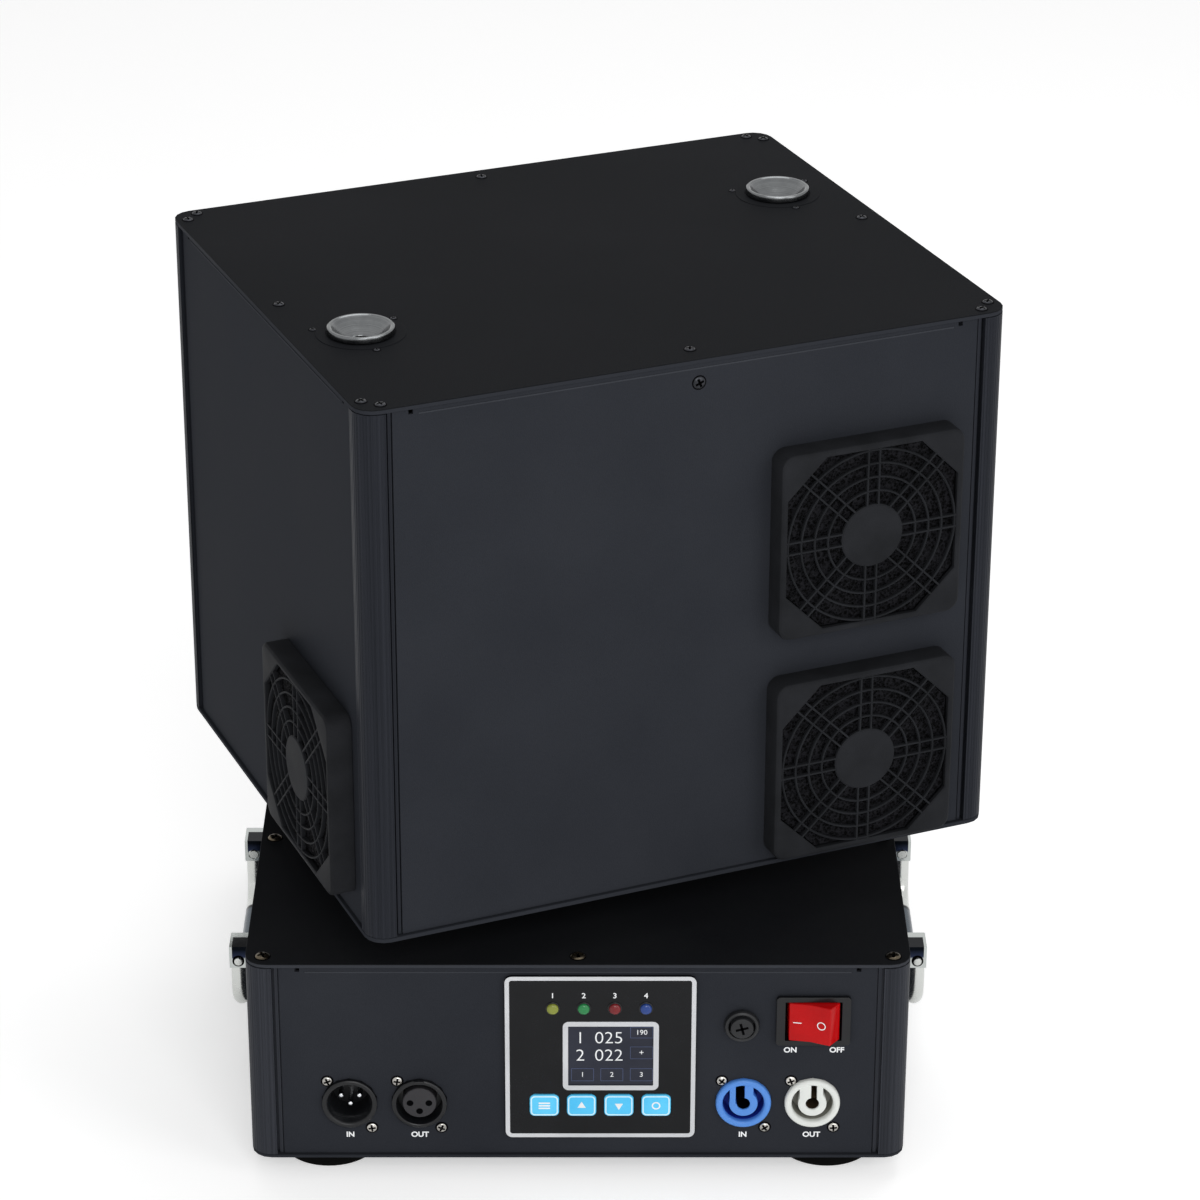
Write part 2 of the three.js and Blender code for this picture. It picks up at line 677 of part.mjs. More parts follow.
function addHeadBox(group) {
  const plan = roundedBox(head.length, head.depth, base.radius, 4);
  const cableHole = circle(spindle.radius - spindle.wall, 20);
  addPiece(group, "head_bottom_plate", prism(plan, head.plate, [cableHole]), plateBlack);

  const holes = [-1, 1].map((end) =>
    circle(nozzle.bore + barrel.wall + seatGap, 16, end * nozzleX, end * nozzle.y),
  );
  const lid = prism(plan, head.plate, holes).translate(0, 0, head.height - head.plate);
  addPiece(group, "head_top_plate", lid, plateBlack);

  const low = head.plate + seatGap;
  const height = head.height - 2 * low;
  addPosts(group, "head", head.length, head.depth, low, height);

  headSides.forEach((name, side) => {
    const long = side % 2 === 0;
    const width = (long ? head.length : head.depth) - 2 * panelEdge;
    const places = fanPlaces(side);
    const fanHoles = places.map(([x, z]) => circle(fan.hole, 12, x, z - low));
    const flat = panelSheet(width, height, fanHoles);
    const frames = places.map(([x, z]) => fanFrame().translate(x, z - low, 0));
    const distance = panelDistance(long ? head.depth : head.length);
    const panel = onSide(join(flat, ...frames), side, distance);
    addPiece(group, `head_${name}_panel`, panel.translate(0, 0, low), satinBlack);
  });
}

// Fan frame behind a fan hole: two crossed bridges, with the pin that the fan turns on
function fanFrame() {
  const outer = fan.hole + fanMount.lap;
  const inner = fan.reach + fanMount.tipGap;
  const clear = fan.depth + 2 * seatGap;
  const weld = sheet.thickness / 2;
  const bridge = [
    [-outer, weld],
    [-outer, -clear - fanMount.strut],
    [outer, -clear - fanMount.strut],
    [outer, weld],
    [inner, weld],
    [inner, -clear],
    [-inner, -clear],
    [-inner, weld],
  ].map(([x, y]) => new THREE.Vector2(x, y));
  const bridges = [0, 1].map((turn) =>
    prism(bridge, fanMount.width)
      .translate(0, 0, -fanMount.width / 2)
      .rotateX(quarter)
      .rotateZ(turn * quarter),
  );
  const axle = prism(circle(fanMount.pin, 6), clear + fanMount.strut / 2 - seatGap);
  return join(...bridges, axle.translate(0, 0, -clear - fanMount.strut / 2));
}

// Fan rotor: a star of blades round a hub, twisted over its depth so that the blades are pitched
function fanRotor() {
  const pitch = (2 * Math.PI) / fan.blades;
  const star = Array.from({ length: fan.blades }, (_, i) => [
    polar(fan.hubRadius, (i - fanShares.root / 2) * pitch),
    polar(fan.reach, (i - fanShares.tip / 2) * pitch),
    polar(fan.reach, (i + fanShares.tip / 2) * pitch),
    polar(fan.hubRadius, (i + fanShares.root / 2) * pitch),
  ]).flat();
  const wheel = twist(prism(star, fan.depth), fan.depth, fanShares.pitch / fan.blades);
  const bore = prism(circle(clearing(fanMount.pin, 6), 6), fan.depth + 2 * overrun);
  return cut(wheel, bore.translate(0, 0, -overrun));
}

// Fan guard: a hollow cover whose face is a grille of rings and paired spokes round a hub
const grilleEdge = opening.flats / 2 + grille.weld; // outer edge of the outermost ring
const ringStep = (grilleEdge - grille.bar / 2 - grille.hubRadius) / grille.rings;

function ringRadius(ring) {
  return grille.hubRadius + ring * ringStep;
}

function polar(radius, angle) {
  return new THREE.Vector2(radius * Math.cos(angle), radius * Math.sin(angle));
}

// Openings of the grille: ring segments between the spokes, and a slot inside each paired spoke
function grilleCells() {
  const half = grille.bar / 2;
  const outside = grille.pairSpacing / 2 + half;
  const inside = grille.pairSpacing / 2 - half;
  const step = (2 * Math.PI) / grille.spokes;
  const rim = ringRadius(grille.rings) - half;
  const segment = (radius, start, bends) => {
    const margin = Math.asin(outside / radius);
    return arc(0, 0, radius, start + margin, start + step - margin, bends);
  };
  const cells = [];
  for (let spoke = 0; spoke < grille.spokes; spoke += 1) {
    const start = spoke * step;
    for (let ring = 0; ring < grille.rings; ring += 1) {
      const near = ringRadius(ring) + (ring === 0 ? 0 : half);
      const far = ringRadius(ring + 1) - half;
      const bends = ring === grille.rings - 1 ? 2 : 1;
      cells.push([...segment(near, start, 1), ...segment(far, start, bends).reverse()]);
    }
    const slot = [grille.hubRadius, rim].flatMap((radius) => {
      const turn = Math.asin(inside / radius);
      return [polar(radius, start - turn), polar(radius, start + turn)];
    });
    cells.push([slot[0], slot[1], slot[3], slot[2]]);
  }
  return cells;
}

// The slits between the outer ring and the window's cut corners, one each side of a diagonal
function cornerCells() {
  const half = opening.flats / 2;
  const outside = grille.pairSpacing / 2 + grille.bar / 2;
  const diagonal = (2 * half - opening.cut) / Math.SQRT2;
  const start = Math.acos(half / grilleEdge) + grille.bar / grilleEdge;
  const stop = quarter / 2 - Math.asin(outside / grilleEdge);
  const cutPoint = polar(Math.hypot(diagonal, outside), quarter / 2 - Math.atan(outside / diagonal));
  const slit = [
    new THREE.Vector2(half, half * Math.tan(start)),
    new THREE.Vector2(half, half - opening.cut),
    cutPoint,
    polar(grilleEdge, stop),
  ];
  const mirrored = slit.map(({ x, y }) => new THREE.Vector2(y, x));
  const origin = new THREE.Vector2(0, 0);
  return [0, 1, 2, 3].flatMap((turn) =>
    [slit, mirrored].map((cell) =>
      cell.map((point) => point.clone().rotateAround(origin, turn * quarter)),
    ),
  );
}

function fanGuard() {
  const outline = roundedBox(guard.side, guard.side, guard.radius, 1);
  const depth = guard.proud - seatGap;
  const face = prism(outline, guard.face).translate(0, 0, depth - guard.face);
  const cells = [...grilleCells(), ...cornerCells()].map((cell) =>
    prism(cell, guard.face + 2 * overrun).translate(0, 0, depth - guard.face - overrun),
  );
  const hollow = roundedBox(
    guard.side - 2 * guard.wall,
    guard.side - 2 * guard.wall,
    guard.radius - guard.wall,
    1,
  );
  const skirt = prism(outline, depth - guard.face / 2, [hollow]);
  return cut(join(face, skirt), ...cells);
}

function addFans(group) {
  const wheel = fanRotor();
  const cover = fanGuard();
  headSides.forEach((name, side) => {
    const size = side % 2 === 0 ? head.depth : head.length;
    const face = size / 2 - sheet.recess;
    const places = fanPlaces(side);
    places.forEach(([x, z], i) => {
      const label = places.length > 1 ? `${name}_${["lower", "upper"][i]}` : name;
      const guardPiece = onSide(cover.clone().translate(x, z, 0), side, face + seatGap);
      addPiece(group, `fan_guard_${label}`, guardPiece, guardPlastic);
      const back = face - sheet.thickness - seatGap - fan.depth;
      const rotor = onSide(wheel.clone().translate(x, z, 0), side, back);
      addPiece(group, `fan_rotor_${label}`, rotor, moulded);
    });
  });
}

// Spark units: a flanged nozzle with its barrel, and the screw that lifts the granules
function addNozzles(group) {
  const { radius, proud, lip, bore, funnel } = nozzle;
  const outer = bore + barrel.wall;
  const bottom = -barrel.length;
  const profile = [
    [0, bottom],
    [outer, bottom],
    [outer, seatGap],
    [radius, seatGap],
    [radius, proud - lip / 4],
    [radius - lip / 4, proud],
    [radius - lip, proud],
    [bore, proud - funnel],
    [bore, bottom + barrel.floor],
    [0, bottom + barrel.floor],
  ];
  const flight = 2 * (bore - 2 * seatGap);
  for (const [name, end] of [["left", -1], ["right", 1]]) {
    const tube = turned(profile, 16).translate(end * nozzleX, end * nozzle.y, head.height);
    addPiece(group, `nozzle_${name}`, tube, steel);
    const strip = rectangle(-flight / 2, -auger.blade / 2, flight / 2, auger.blade / 2);
    const screw = twist(prism(strip, auger.length, [], auger.steps), auger.length, auger.turns);
    const rise = head.height + bottom + barrel.floor + seatGap;
    screw.translate(end * nozzleX, end * nozzle.y, rise);
    addPiece(group, `feed_screw_${name}`, screw, steel);
  }
}

function twist(geometry, length, turns) {
  const place = geometry.attributes.position;
  const point = new THREE.Vector3();
  const axis = new THREE.Vector3(0, 0, 1);
  for (let i = 0; i < place.count; i += 1) {
    point.fromBufferAttribute(place, i);
    point.applyAxisAngle(axis, (2 * Math.PI * turns * point.z) / length);
    place.setXYZ(i, point.x, point.y, point.z);
  }
  return geometry;
}

// The whole machine
const machine = new THREE.Group();
addBase(machine);
addFeet(machine);
addHandles(machine);
addDisplay(machine);
addSignalSockets(machine);
addPowerSockets(machine);
addFuse(machine);
addSwitch(machine);
addBearing(machine);
addMotor(machine);

const turningBox = new THREE.Group();
const turn = THREE.MathUtils.degToRad(restTurn);
turningBox.position.z = headFloor;
turningBox.rotation.z = turn;
addHeadBox(turningBox);
addSpindle(turningBox, turn);
addNozzles(turningBox);
addFans(turningBox);
machine.add(turningBox);

export default machine;
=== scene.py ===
# Dresses the rotating double cold spark machine: finishes, fine pieces, stage, camera and lamps
import math

import bmesh
import bpy
from mathutils import Matrix, Vector


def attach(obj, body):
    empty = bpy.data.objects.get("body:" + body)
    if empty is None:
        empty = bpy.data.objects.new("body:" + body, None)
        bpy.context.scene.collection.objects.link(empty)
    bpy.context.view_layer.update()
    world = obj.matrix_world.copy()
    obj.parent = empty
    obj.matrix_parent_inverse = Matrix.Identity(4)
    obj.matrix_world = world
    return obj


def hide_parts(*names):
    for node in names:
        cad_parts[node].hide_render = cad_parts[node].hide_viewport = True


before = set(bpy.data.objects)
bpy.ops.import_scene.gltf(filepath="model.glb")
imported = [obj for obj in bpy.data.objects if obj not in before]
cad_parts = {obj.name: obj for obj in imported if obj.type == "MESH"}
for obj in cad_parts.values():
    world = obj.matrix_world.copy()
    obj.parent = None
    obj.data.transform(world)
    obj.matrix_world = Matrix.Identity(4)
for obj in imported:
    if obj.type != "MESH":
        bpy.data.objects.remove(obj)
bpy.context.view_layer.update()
print("frame loaded:", len(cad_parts), "nodes")

# Sizes are in millimetres, and a piece turns to metres when it is placed. Finishes read metres.
baseBox = {"length": 286, "depth": 286, "height": 98, "floor": 12}
turningBox = {"length": 290, "depth": 246, "height": 243, "floor": 134, "turn": 22.6}
panelRecess = 1.4  # how far the side panels lie behind the corner posts
corners = ["front_left", "front_right", "rear_right", "rear_left"]
sides = ["front", "right", "rear", "left"]


def at(x, y, z=0):
    return Matrix.Translation((x, y, z))


def about(axis, angle):  # a turn in radians
    return Matrix.Rotation(angle, 4, axis)


def facing(box, side, distance, x, z):  # lying on a side face, seen from outside
    return box @ about("Z", side * math.pi / 2) @ at(x, -distance, z) @ about("X", math.pi / 2)


def faceOf(sizes, side):  # from the box's middle to a side panel's face
    return (sizes["length"] if side % 2 else sizes["depth"]) / 2 - panelRecess


onBase = at(0, 0, baseBox["floor"])
onHead = at(0, 0, turningBox["floor"]) @ about("Z", math.radians(turningBox["turn"]))
boxes = [("base", onBase, baseBox), ("head", onHead, turningBox)]
under = about("X", math.pi)


# Finishes
def tone(code):  # a colour such as 2b2d33
    parts = [int(code[i : i + 2], 16) / 255 for i in (0, 2, 4)]
    return [*(p / 12.92 if p <= 0.04045 else ((p + 0.055) / 1.055) ** 2.4 for p in parts), 1]


class Wire:  # a value inside a finish: arithmetic on it adds Math nodes
    def __init__(self, finish, socket):
        self.finish = finish
        self.socket = socket

    def maths(self, operation, *values):
        return self.finish.maths(operation, *values)

    def __add__(self, other):
        return self.maths("ADD", self, other)

    def __radd__(self, other):
        return self.maths("ADD", other, self)

    def __sub__(self, other):
        return self.maths("SUBTRACT", self, other)

    def __rsub__(self, other):
        return self.maths("SUBTRACT", other, self)

    def __mul__(self, other):
        return self.maths("MULTIPLY", self, other)

    def __rmul__(self, other):
        return self.maths("MULTIPLY", other, self)

    def __gt__(self, other):
        return self.maths("GREATER_THAN", self, other)

    def __lt__(self, other):
        return self.maths("LESS_THAN", self, other)


class Finish:  # one material: fixed numbers on the shader, patterns on the piece's own place
    def __init__(self, slot, colour, fixed):
        self.slot = slot
        self.material = bpy.data.materials.new(slot)
        self.material.use_nodes = True
        self.tree = self.material.node_tree
        self.shader = self.tree.nodes["Principled BSDF"]
        self.shader.inputs["Base Color"].default_value = tone(colour)
        for socket, value in fixed.items():
            self.shader.inputs[socket].default_value = value
        self.place = self.node("ShaderNodeTexCoord", {}, {}, "Object")

    def node(self, kind, settings, inputs, output=0):
        made = self.tree.nodes.new(kind)
        for setting, value in settings.items():
            setattr(made, setting, value)
        for socket, value in inputs.items():
            if isinstance(value, Wire):
                self.tree.links.new(value.socket, made.inputs[socket])
            else:
                made.inputs[socket].default_value = value
        return Wire(self, made.outputs[output])

    def maths(self, operation, *values):
        return self.node("ShaderNodeMath", {"operation": operation}, dict(enumerate(values)))

    def feed(self, socket, wire):
        self.tree.links.new(wire.socket, self.shader.inputs[socket])

    def grain(self, scale, detail=3, stretch=(1, 1, 1)):
        spot = self.node("ShaderNodeMapping", {}, {"Vector": self.place, "Scale": stretch})
        inputs = {"Vector": spot, "Scale": scale, "Detail": detail}
        return self.node("ShaderNodeTexNoise", {}, inputs)

    def cells(self, scale):
        return self.node("ShaderNodeTexVoronoi", {}, {"Vector": self.place, "Scale": scale})

    def spread(self, wire, low, high, start, end):
        limits = {"From Min": low, "From Max": high, "To Min": start, "To Max": end}
        return self.node("ShaderNodeMapRange", {}, {"Value": wire, **limits})

    def blend(self, share, low, high):
        low, high = (shade if isinstance(shade, Wire) else tone(shade) for shade in [low, high])
        colours = {0: share, 6: low, 7: high}
        return self.node("ShaderNodeMix", {"data_type": "RGBA"}, colours, 2)

    def relief(self, height, depth):
        bumps = {"Height": height, "Distance": depth, "Strength": 1}
        self.feed("Normal", self.node("ShaderNodeBump", {}, bumps))

    def part(self, axis):  # one coordinate of the place
        return self.node("ShaderNodeSeparateXYZ", {}, {"Vector": self.place}, axis)

    def vector(self, operation, first, second, output=0):
        inputs = {0: first} if second is None else {0: first, 1: second}
        return self.node("ShaderNodeVectorMath", {"operation": operation}, inputs, output)

    def radius(self, centre, axis):  # distance from a line through centre
        keep = [0 if name == axis else 1 for name in "xyz"]
        spot = self.vector("SUBTRACT", self.place, centre)
        return self.vector("LENGTH", self.vector("MULTIPLY", spot, keep), None, "Value")


def powderCoat(slot, dark, light, gloss, specular, edge=None, level=0):  # edge: a paler tone below level, a painted highlight
    coat = Finish(slot, dark, {"Specular IOR Level": specular})
    cloud = coat.grain(14, 4)
    speck = coat.grain(1700, 2)
    colour = coat.blend(coat.spread(cloud + speck * 0.5, 0.5, 1, 0, 1), dark, light)
    # painted highlight: the edge tone below level
    if edge:
        colour = coat.blend(coat.part("Z") < level, colour, edge)
    coat.feed("Base Color", colour)
    coat.feed("Roughness", coat.spread(cloud, 0.3, 0.7, gloss - 0.05, gloss + 0.07))
    coat.relief(speck, 0.00006)
    return coat


def lidPaint(sizes, edge):  # black, with a painted highlight: a paler rim just under its top
    level = (sizes["floor"] + sizes["height"] - 0.4) / 1000
    return powderCoat("painted_plate", "16171a", "1d1e20", 0.55, 0.012, edge, level)


def brushedExtrusion(slot, dark, light):
    metal = Finish(slot, dark, {"Metallic": 0.3, "Specular IOR Level": 0.04})
    streak = metal.grain(900, 3, (1, 1, 0.004))
    cloud = metal.grain(20, 3)
    metal.feed("Base Color", metal.blend(metal.spread(streak, 0.35, 0.7, 0, 1), dark, light))
    metal.feed("Roughness", metal.spread(streak + cloud, 0.6, 1.4, 0.28, 0.46))
    metal.relief(streak, 0.000006)
    return metal


def plastic(slot, dark, light, gloss, texture, coat=0.0, specular=0.3):
    fixed = {"Coat Weight": coat, "Coat Roughness": 0.06, "Specular IOR Level": specular}
    body = Finish(slot, dark, fixed)
    cloud = body.grain(60, 4)
    speck = body.grain(2200, 2)
    mottle = body.spread(cloud + speck * 0.4, 0.45, 0.95, 0, 1)
    body.feed("Base Color", body.blend(mottle, dark, light))
    body.feed("Roughness", body.spread(cloud, 0.3, 0.7, gloss - 0.06, gloss + 0.06))
    body.relief(speck, texture)
    return body


def plated(slot, dark, light, gloss):
    metal = Finish(slot, dark, {"Metallic": 1})
    smudge = metal.grain(130, 5)
    fine = metal.grain(1500, 2)
    metal.feed("Base Color", metal.blend(metal.spread(smudge, 0.3, 0.7, 0, 1), dark, light))
    metal.feed("Roughness", metal.spread(smudge + fine * 0.3, 0.4, 0.9, gloss, gloss + 0.14))
    metal.relief(fine, 0.00001)
    return metal


# Places of the painted reflections and highlights on the clevis and bar, in metres on the piece
ear = {"strip": 0.0425, "inner": 0.0472, "outer": 0.0518, "edge": 0.1562, "lip": 0.0672}
ear.update({"shade": (0.0622, 0.0632), "paintedDarkReflection": (0.0628, 0.067)})


def clevisPlate(slot):  # polished ears with a painted reflection: dark above, bright below, and a painted highlight on the lip and outer edge
    metal = plated(slot, "b4b8b6", "c4c8c6", 0.06)
    height = metal.part("Z") + metal.grain(60, 2) * 0.0016
    along = metal.part("Y")
    strip = metal.maths("ABSOLUTE", along) < ear["strip"]
    lip = (along > -ear["inner"]) * (along < 0) + (along > ear["outer"])
    edge = metal.maths("ABSOLUTE", metal.part("X")) > ear["edge"]
    # painted highlight on the lip and the outer edge
    paintedHighlight = metal.maths("MAXIMUM", lip * (metal.part("Z") > ear["lip"]), edge)
    # painted reflection: a dark band over the upper ears, kept off the highlight and the strip
    shade = metal.spread(height, *ear["shade"], 0, 1) * (1 - metal.maths("MAXIMUM", paintedHighlight, strip))
    # dark navy tones of the painted reflection
    paintedDarkReflection = metal.blend(metal.spread(height, *ear["paintedDarkReflection"], 1, 0), "0c0f14", "2a3146")
    metal.feed("Base Color", metal.blend(shade, "b9bdbb", paintedDarkReflection))
    return metal


bar = {"grip": (0.032, 0.0335), "paintedHighlight": (0.0345, 0.036), "under": (0.0342, 0.0352)}


def barPlate(slot):  # polished bar with a painted reflection: its grip darkened as if it mirrored the dark side of the box, bright below and beyond
    metal = plated(slot, "bdbfbd", "cfd1ce", 0.18)
    along = metal.maths("ABSOLUTE", metal.part("Y") + metal.grain(40, 2) * 0.003)
    # painted reflection: the grip darkened as if mirroring the box
    grip = metal.blend(metal.spread(along, *bar["grip"], 0, 1), "4b535a", "17191e")
    # painted reflection of the bright floor on the underside
    under = metal.spread(metal.part("Z") + metal.grain(50, 2) * 0.001, *bar["under"], 1, 0)
    # painted highlight on the bends and the underside
    paintedHighlight = metal.maths("MAXIMUM", metal.spread(along, *bar["paintedHighlight"], 0, 1), under)
    metal.feed("Base Color", metal.blend(paintedHighlight, grip, "c6c8c5"))
    return metal


def depthShadedPlastic(slot, face, deep, start, end):  # painted shade: darker the deeper it lies behind the front
    body = plastic(slot, face, face, 0.36, 0.00002, 0.08)
    shade = body.spread(body.part("Y"), start, end, 0, 1)
    body.feed("Base Color", body.blend(shade, face, deep))
    return body


def latheCut(slot, dark, light, centre, axis, gloss):  # turned metal, with rings from the tool
    metal = Finish(slot, dark, {"Metallic": 1})
    away = metal.radius(centre, axis)
    ring = metal.node("ShaderNodeTexNoise", {"noise_dimensions": "1D"}, {"W": away, "Scale": 3500})
    cloud = metal.grain(150, 3)
    metal.feed("Base Color", metal.blend(metal.spread(ring + cloud, 0.6, 1.4, 0, 1), dark, light))
    metal.feed("Roughness", metal.spread(ring + cloud * 0.5, 0.5, 1, gloss, gloss + 0.15))
    metal.relief(ring, 0.00002)
    return metal


def openFoam(slot, dark, light):
    foam = Finish(slot, dark, {"Specular IOR Level": 0.05})
    pore = foam.cells(900)
    coarse = foam.cells(430)
    mesh = foam.spread(pore * 0.6 + coarse * 0.4, 0.3, 0.62, 0, 1)
    foam.feed("Base Color", foam.blend(mesh, dark, light))
    foam.feed("Roughness", foam.spread(mesh, 0, 1, 0.95, 0.7))
    foam.relief(mesh, 0.0006)
    return foam


panelPaint = powderCoat("painted_panel", "282a2f", "2e3035", 0.5, 0.005)
platePaint = powderCoat("painted_plate", "16171a", "1d1e20", 0.55, 0.012)
# The rim tones of the lids are painted highlights
baseLidPaint = lidPaint(baseBox, "37393e")
headLidPaint = lidPaint(turningBox, "2c2e33")
# a paler tone for the fold lines: painted highlight on the bends
paintedFoldHighlight = powderCoat("painted_panel", "34363b", "3b3d42", 0.5, 0.005)
# One anodised finish in two copies: the head's darker copy is painted shade
extrusion = {
    "base": brushedExtrusion("anodised_post", "2b2d32", "383a40"),
    "head": brushedExtrusion("anodised_post", "212328", "2b2d33"),
}
guardPlastic = plastic("guard_plastic", "1e1f21", "27282b", 0.45, 0.00005, 0, 0.012)
mouldedBlack = plastic("moulded_black", "0d0e10", "151619", 0.34, 0.00002)
# black rubber, darkened further to near black as painted shadow under the base
footRubber = plastic("foot_rubber", "060606", "0c0c0c", 0.85, 0.0001, 0, 0.05)
barChrome = barPlate("chrome_plate")
clevisChrome = clevisPlate("chrome_plate")
machinedSteel = plated("steel_part", "8e9196", "a8abb0", 0.22)
brassPart = plated("brass_part", "a8873c", "c3a052", 0.22)
brightPin = plated("steel_part", "c9ccd1", "eceef1", 0.08)
screwNickel = plated("steel_part", "8f8d89", "cbc8c2", 0.14)
screwDull = plated("steel_part", "453f36", "6a6152", 0.22)
screwBlack = plated("moulded_black", "2a2b2e", "3c3d41", 0.3)
filterFoam = openFoam("guard_plastic", "030303", "17171a")
overlayGloss = plastic("overlay_gloss", "0b0c0e", "101114", 0.2, 0.000004, 0.12, 0.12)
silverPrint = plastic("overlay_gloss", "bfc1c4", "cccdd0", 0.4, 0.00001)
whiteInk = plastic("painted_panel", "e2e4e6", "f2f3f4", 0.5, 0.00001)
keyCap = plastic("key_blue", "45bdf0", "5ccbf6", 0.35, 0.00001, 0.2)
keyRim = plastic("key_blue", "c2e9f8", "d6f1fb", 0.4, 0.00001)
rockerRed = plastic("rocker_red", "a80508", "bc080c", 0.2, 0.000004, 0.08, 0.1)
# Depths over which the connector shells darken, and the darker tones of their channels and bores:
# all painted shade
sunk = {"start": -0.1428, "inlet": -0.139, "outlet": -0.1382}
inletShell = depthShadedPlastic("inlet_blue", "4f88d6", "18329c", sunk["start"], sunk["inlet"])
inletDeepShade = plastic("inlet_blue", "14298c", "1a329c", 0.5, 0.00002)
inletBoreShade = plastic("inlet_blue", "03040a", "070914", 0.6, 0.00002, 0, 0.02)
outletShell = depthShadedPlastic("outlet_grey", "d9dcd8", "a3a39b", sunk["start"], sunk["outlet"])
outletDeepShade = plastic("outlet_grey", "84847c", "95958d", 0.5, 0.00002)
outletBoreShade = plastic("outlet_grey", "30261d", "43372b", 0.6, 0.00002, 0, 0.02)
insertGrey = plastic("moulded_black", "262528", "2e2d30", 0.5, 0.00002)
fuseGrey = plastic("moulded_black", "191a1c", "202123", 0.42, 0.00002)
# near black for slots, holes, recesses and gaps: painted shade
paintedShade = plastic("moulded_black", "030304", "070708", 0.7, 0.00002, 0, 0.01)
displayGlass = plastic("overlay_gloss", "20232f", "2a2d3a", 0.12, 0.000002, 0.15, 0.15)
displayLines = plastic("overlay_gloss", "3f4a6a", "4c587c", 0.4, 0.000002)
lampTones = [  # amber, green, red, blue
    ("6c7226", "969e3e"),
    ("156a38", "278a4c"),
    ("640a10", "86131b"),
    ("122c62", "214696"),
]
lampLenses = [plastic("overlay_gloss", *tones, 0.12, 0.000002, 0.15) for tones in lampTones]
print("finishes ready")


# Shapes, each a bmesh in millimetres
def bevelled(shape, edges, width, segments):
    settings = {"offset_type": "OFFSET", "affect": "EDGES", "profile": 0.5, "material": -1}
    bmesh.ops.bevel(shape, geom=edges, offset=width, segments=segments, **settings)


def turned(profile, steps=64, closed=False):  # profile: radius and height, spun about Z
    shape = bmesh.new()
    verts = [shape.verts.new((radius, 0, height)) for radius, height in profile]
    links = list(zip(verts, verts[1:])) + ([(verts[-1], verts[0])] if closed else [])
    edges = [shape.edges.new(link) for link in links]
    spun = {"cent": (0, 0, 0), "axis": (0, 0, 1), "angle": 2 * math.pi, "steps": steps}
    bmesh.ops.spin(shape, geom=verts + edges, use_merge=True, **spun)
    bmesh.ops.remove_doubles(shape, verts=shape.verts, dist=0.001)
    return shape


def block(width, height, thickness, corner=0, edge=0):  # lies on its back, face up
    shape = bmesh.new()
    size = Matrix.Diagonal((width, height, thickness, 1))
    bmesh.ops.create_cube(shape, size=1, matrix=at(0, 0, thickness / 2) @ size)
    if corner:
        upright = [e for e in shape.edges if abs(e.verts[0].co.z - e.verts[1].co.z) > thickness / 2]
        bevelled(shape, upright, corner, 6)
    if edge:
        rim = [e for e in shape.edges if all(v.co.z > thickness * 0.999 for v in e.verts)]
        bevelled(shape, rim, edge, 3)
    return shape


def squareLoop(shape, half, corner, height, cut, bends=8):  # a square with round or cut corners
    verts = []
    for quarter in range(4):
        turn = about("Z", quarter * math.pi / 2)
        for i in range(bends + 1):
            angle = math.pi / 2 * i / bends
            across, up = math.cos(angle), math.sin(angle)
            if cut:
                across, up = 1 - i / bends, i / bends
            spot = Vector((half - corner + corner * across, half - corner + corner * up, height))
            verts.append(shape.verts.new(turn @ spot))
    return [shape.edges.new(pair) for pair in zip(verts, verts[1:] + verts[:1])]


def banded(shape, loop, after):  # quads between two loops, which may lie in one plane
    for edge, other in zip(loop, after):
        shape.faces.new([*edge.verts, *reversed(other.verts)])


def squareTube(stations):  # stations: half width, corner, height, cut; the last joins the first
    shape = bmesh.new()
    loops = [squareLoop(shape, *station) for station in stations]
    for loop, after in zip(loops, loops[1:] + loops[:1]):
        banded(shape, loop, after)
    return shape


def moved(shape, made, vector):  # the new corners of an extrusion
    verts = [v for v in made if isinstance(v, bmesh.types.BMVert)]
    bmesh.ops.translate(shape, vec=vector, verts=verts)


def lastFace(made):
    return next(f for f in made if isinstance(f, bmesh.types.BMFace))


def extruded(points, height):  # an outline raised along Z
    shape = bmesh.new()
    face = shape.faces.new([shape.verts.new((x, y, 0)) for x, y in points])
    moved(shape, bmesh.ops.extrude_face_region(shape, geom=[face])["geom"], (0, 0, height))
    return shape


def ownMesh(carrier):  # the finished mesh of a piece that still has text or modifiers
    bpy.context.scene.collection.objects.link(carrier)
    bpy.context.view_layer.update()
    graph = bpy.context.evaluated_depsgraph_get()
    mesh = bpy.data.meshes.new_from_object(carrier.evaluated_get(graph))
    bpy.data.objects.remove(carrier)
    return mesh


def letters(words, size, weight=0.02):  # face up, centred
    curve = bpy.data.curves.new("letters", "FONT")
    curve.body = words
    curve.size = size
    curve.align_x = "CENTER"
    curve.align_y = "CENTER"
    curve.offset = weight * size
    curve.extrude = 0.02
    mesh = ownMesh(bpy.data.objects.new("letters", curve))
    shape = bmesh.new()
    shape.from_mesh(mesh)
    bmesh.ops.remove_doubles(shape, verts=shape.verts, dist=0.0001)
    return shape


class Piece:  # collects shapes, then becomes one object
    def __init__(self):
        self.mesh = bmesh.new()

    def add(self, shape, *places):
        bmesh.ops.recalc_face_normals(shape, faces=shape.faces)
        loose = bpy.data.meshes.new("shape")
        shape.to_mesh(loose)
        shape.free()
        for place in places or [Matrix()]:
            copy = loose.copy()
            copy.transform(place)
            self.mesh.from_mesh(copy)
            bpy.data.meshes.remove(copy)
        bpy.data.meshes.remove(loose)
        return self

    def settle(self, name, finish, body, place=Matrix(), replaces=(), sharp=32):
        bmesh.ops.transform(self.mesh, matrix=Matrix.Scale(0.001, 4) @ place, verts=self.mesh.verts)
        mesh = bpy.data.meshes.new(name)
        self.mesh.to_mesh(mesh)
        self.mesh.free()
        return settled(name, mesh, finish, body, replaces, sharp)


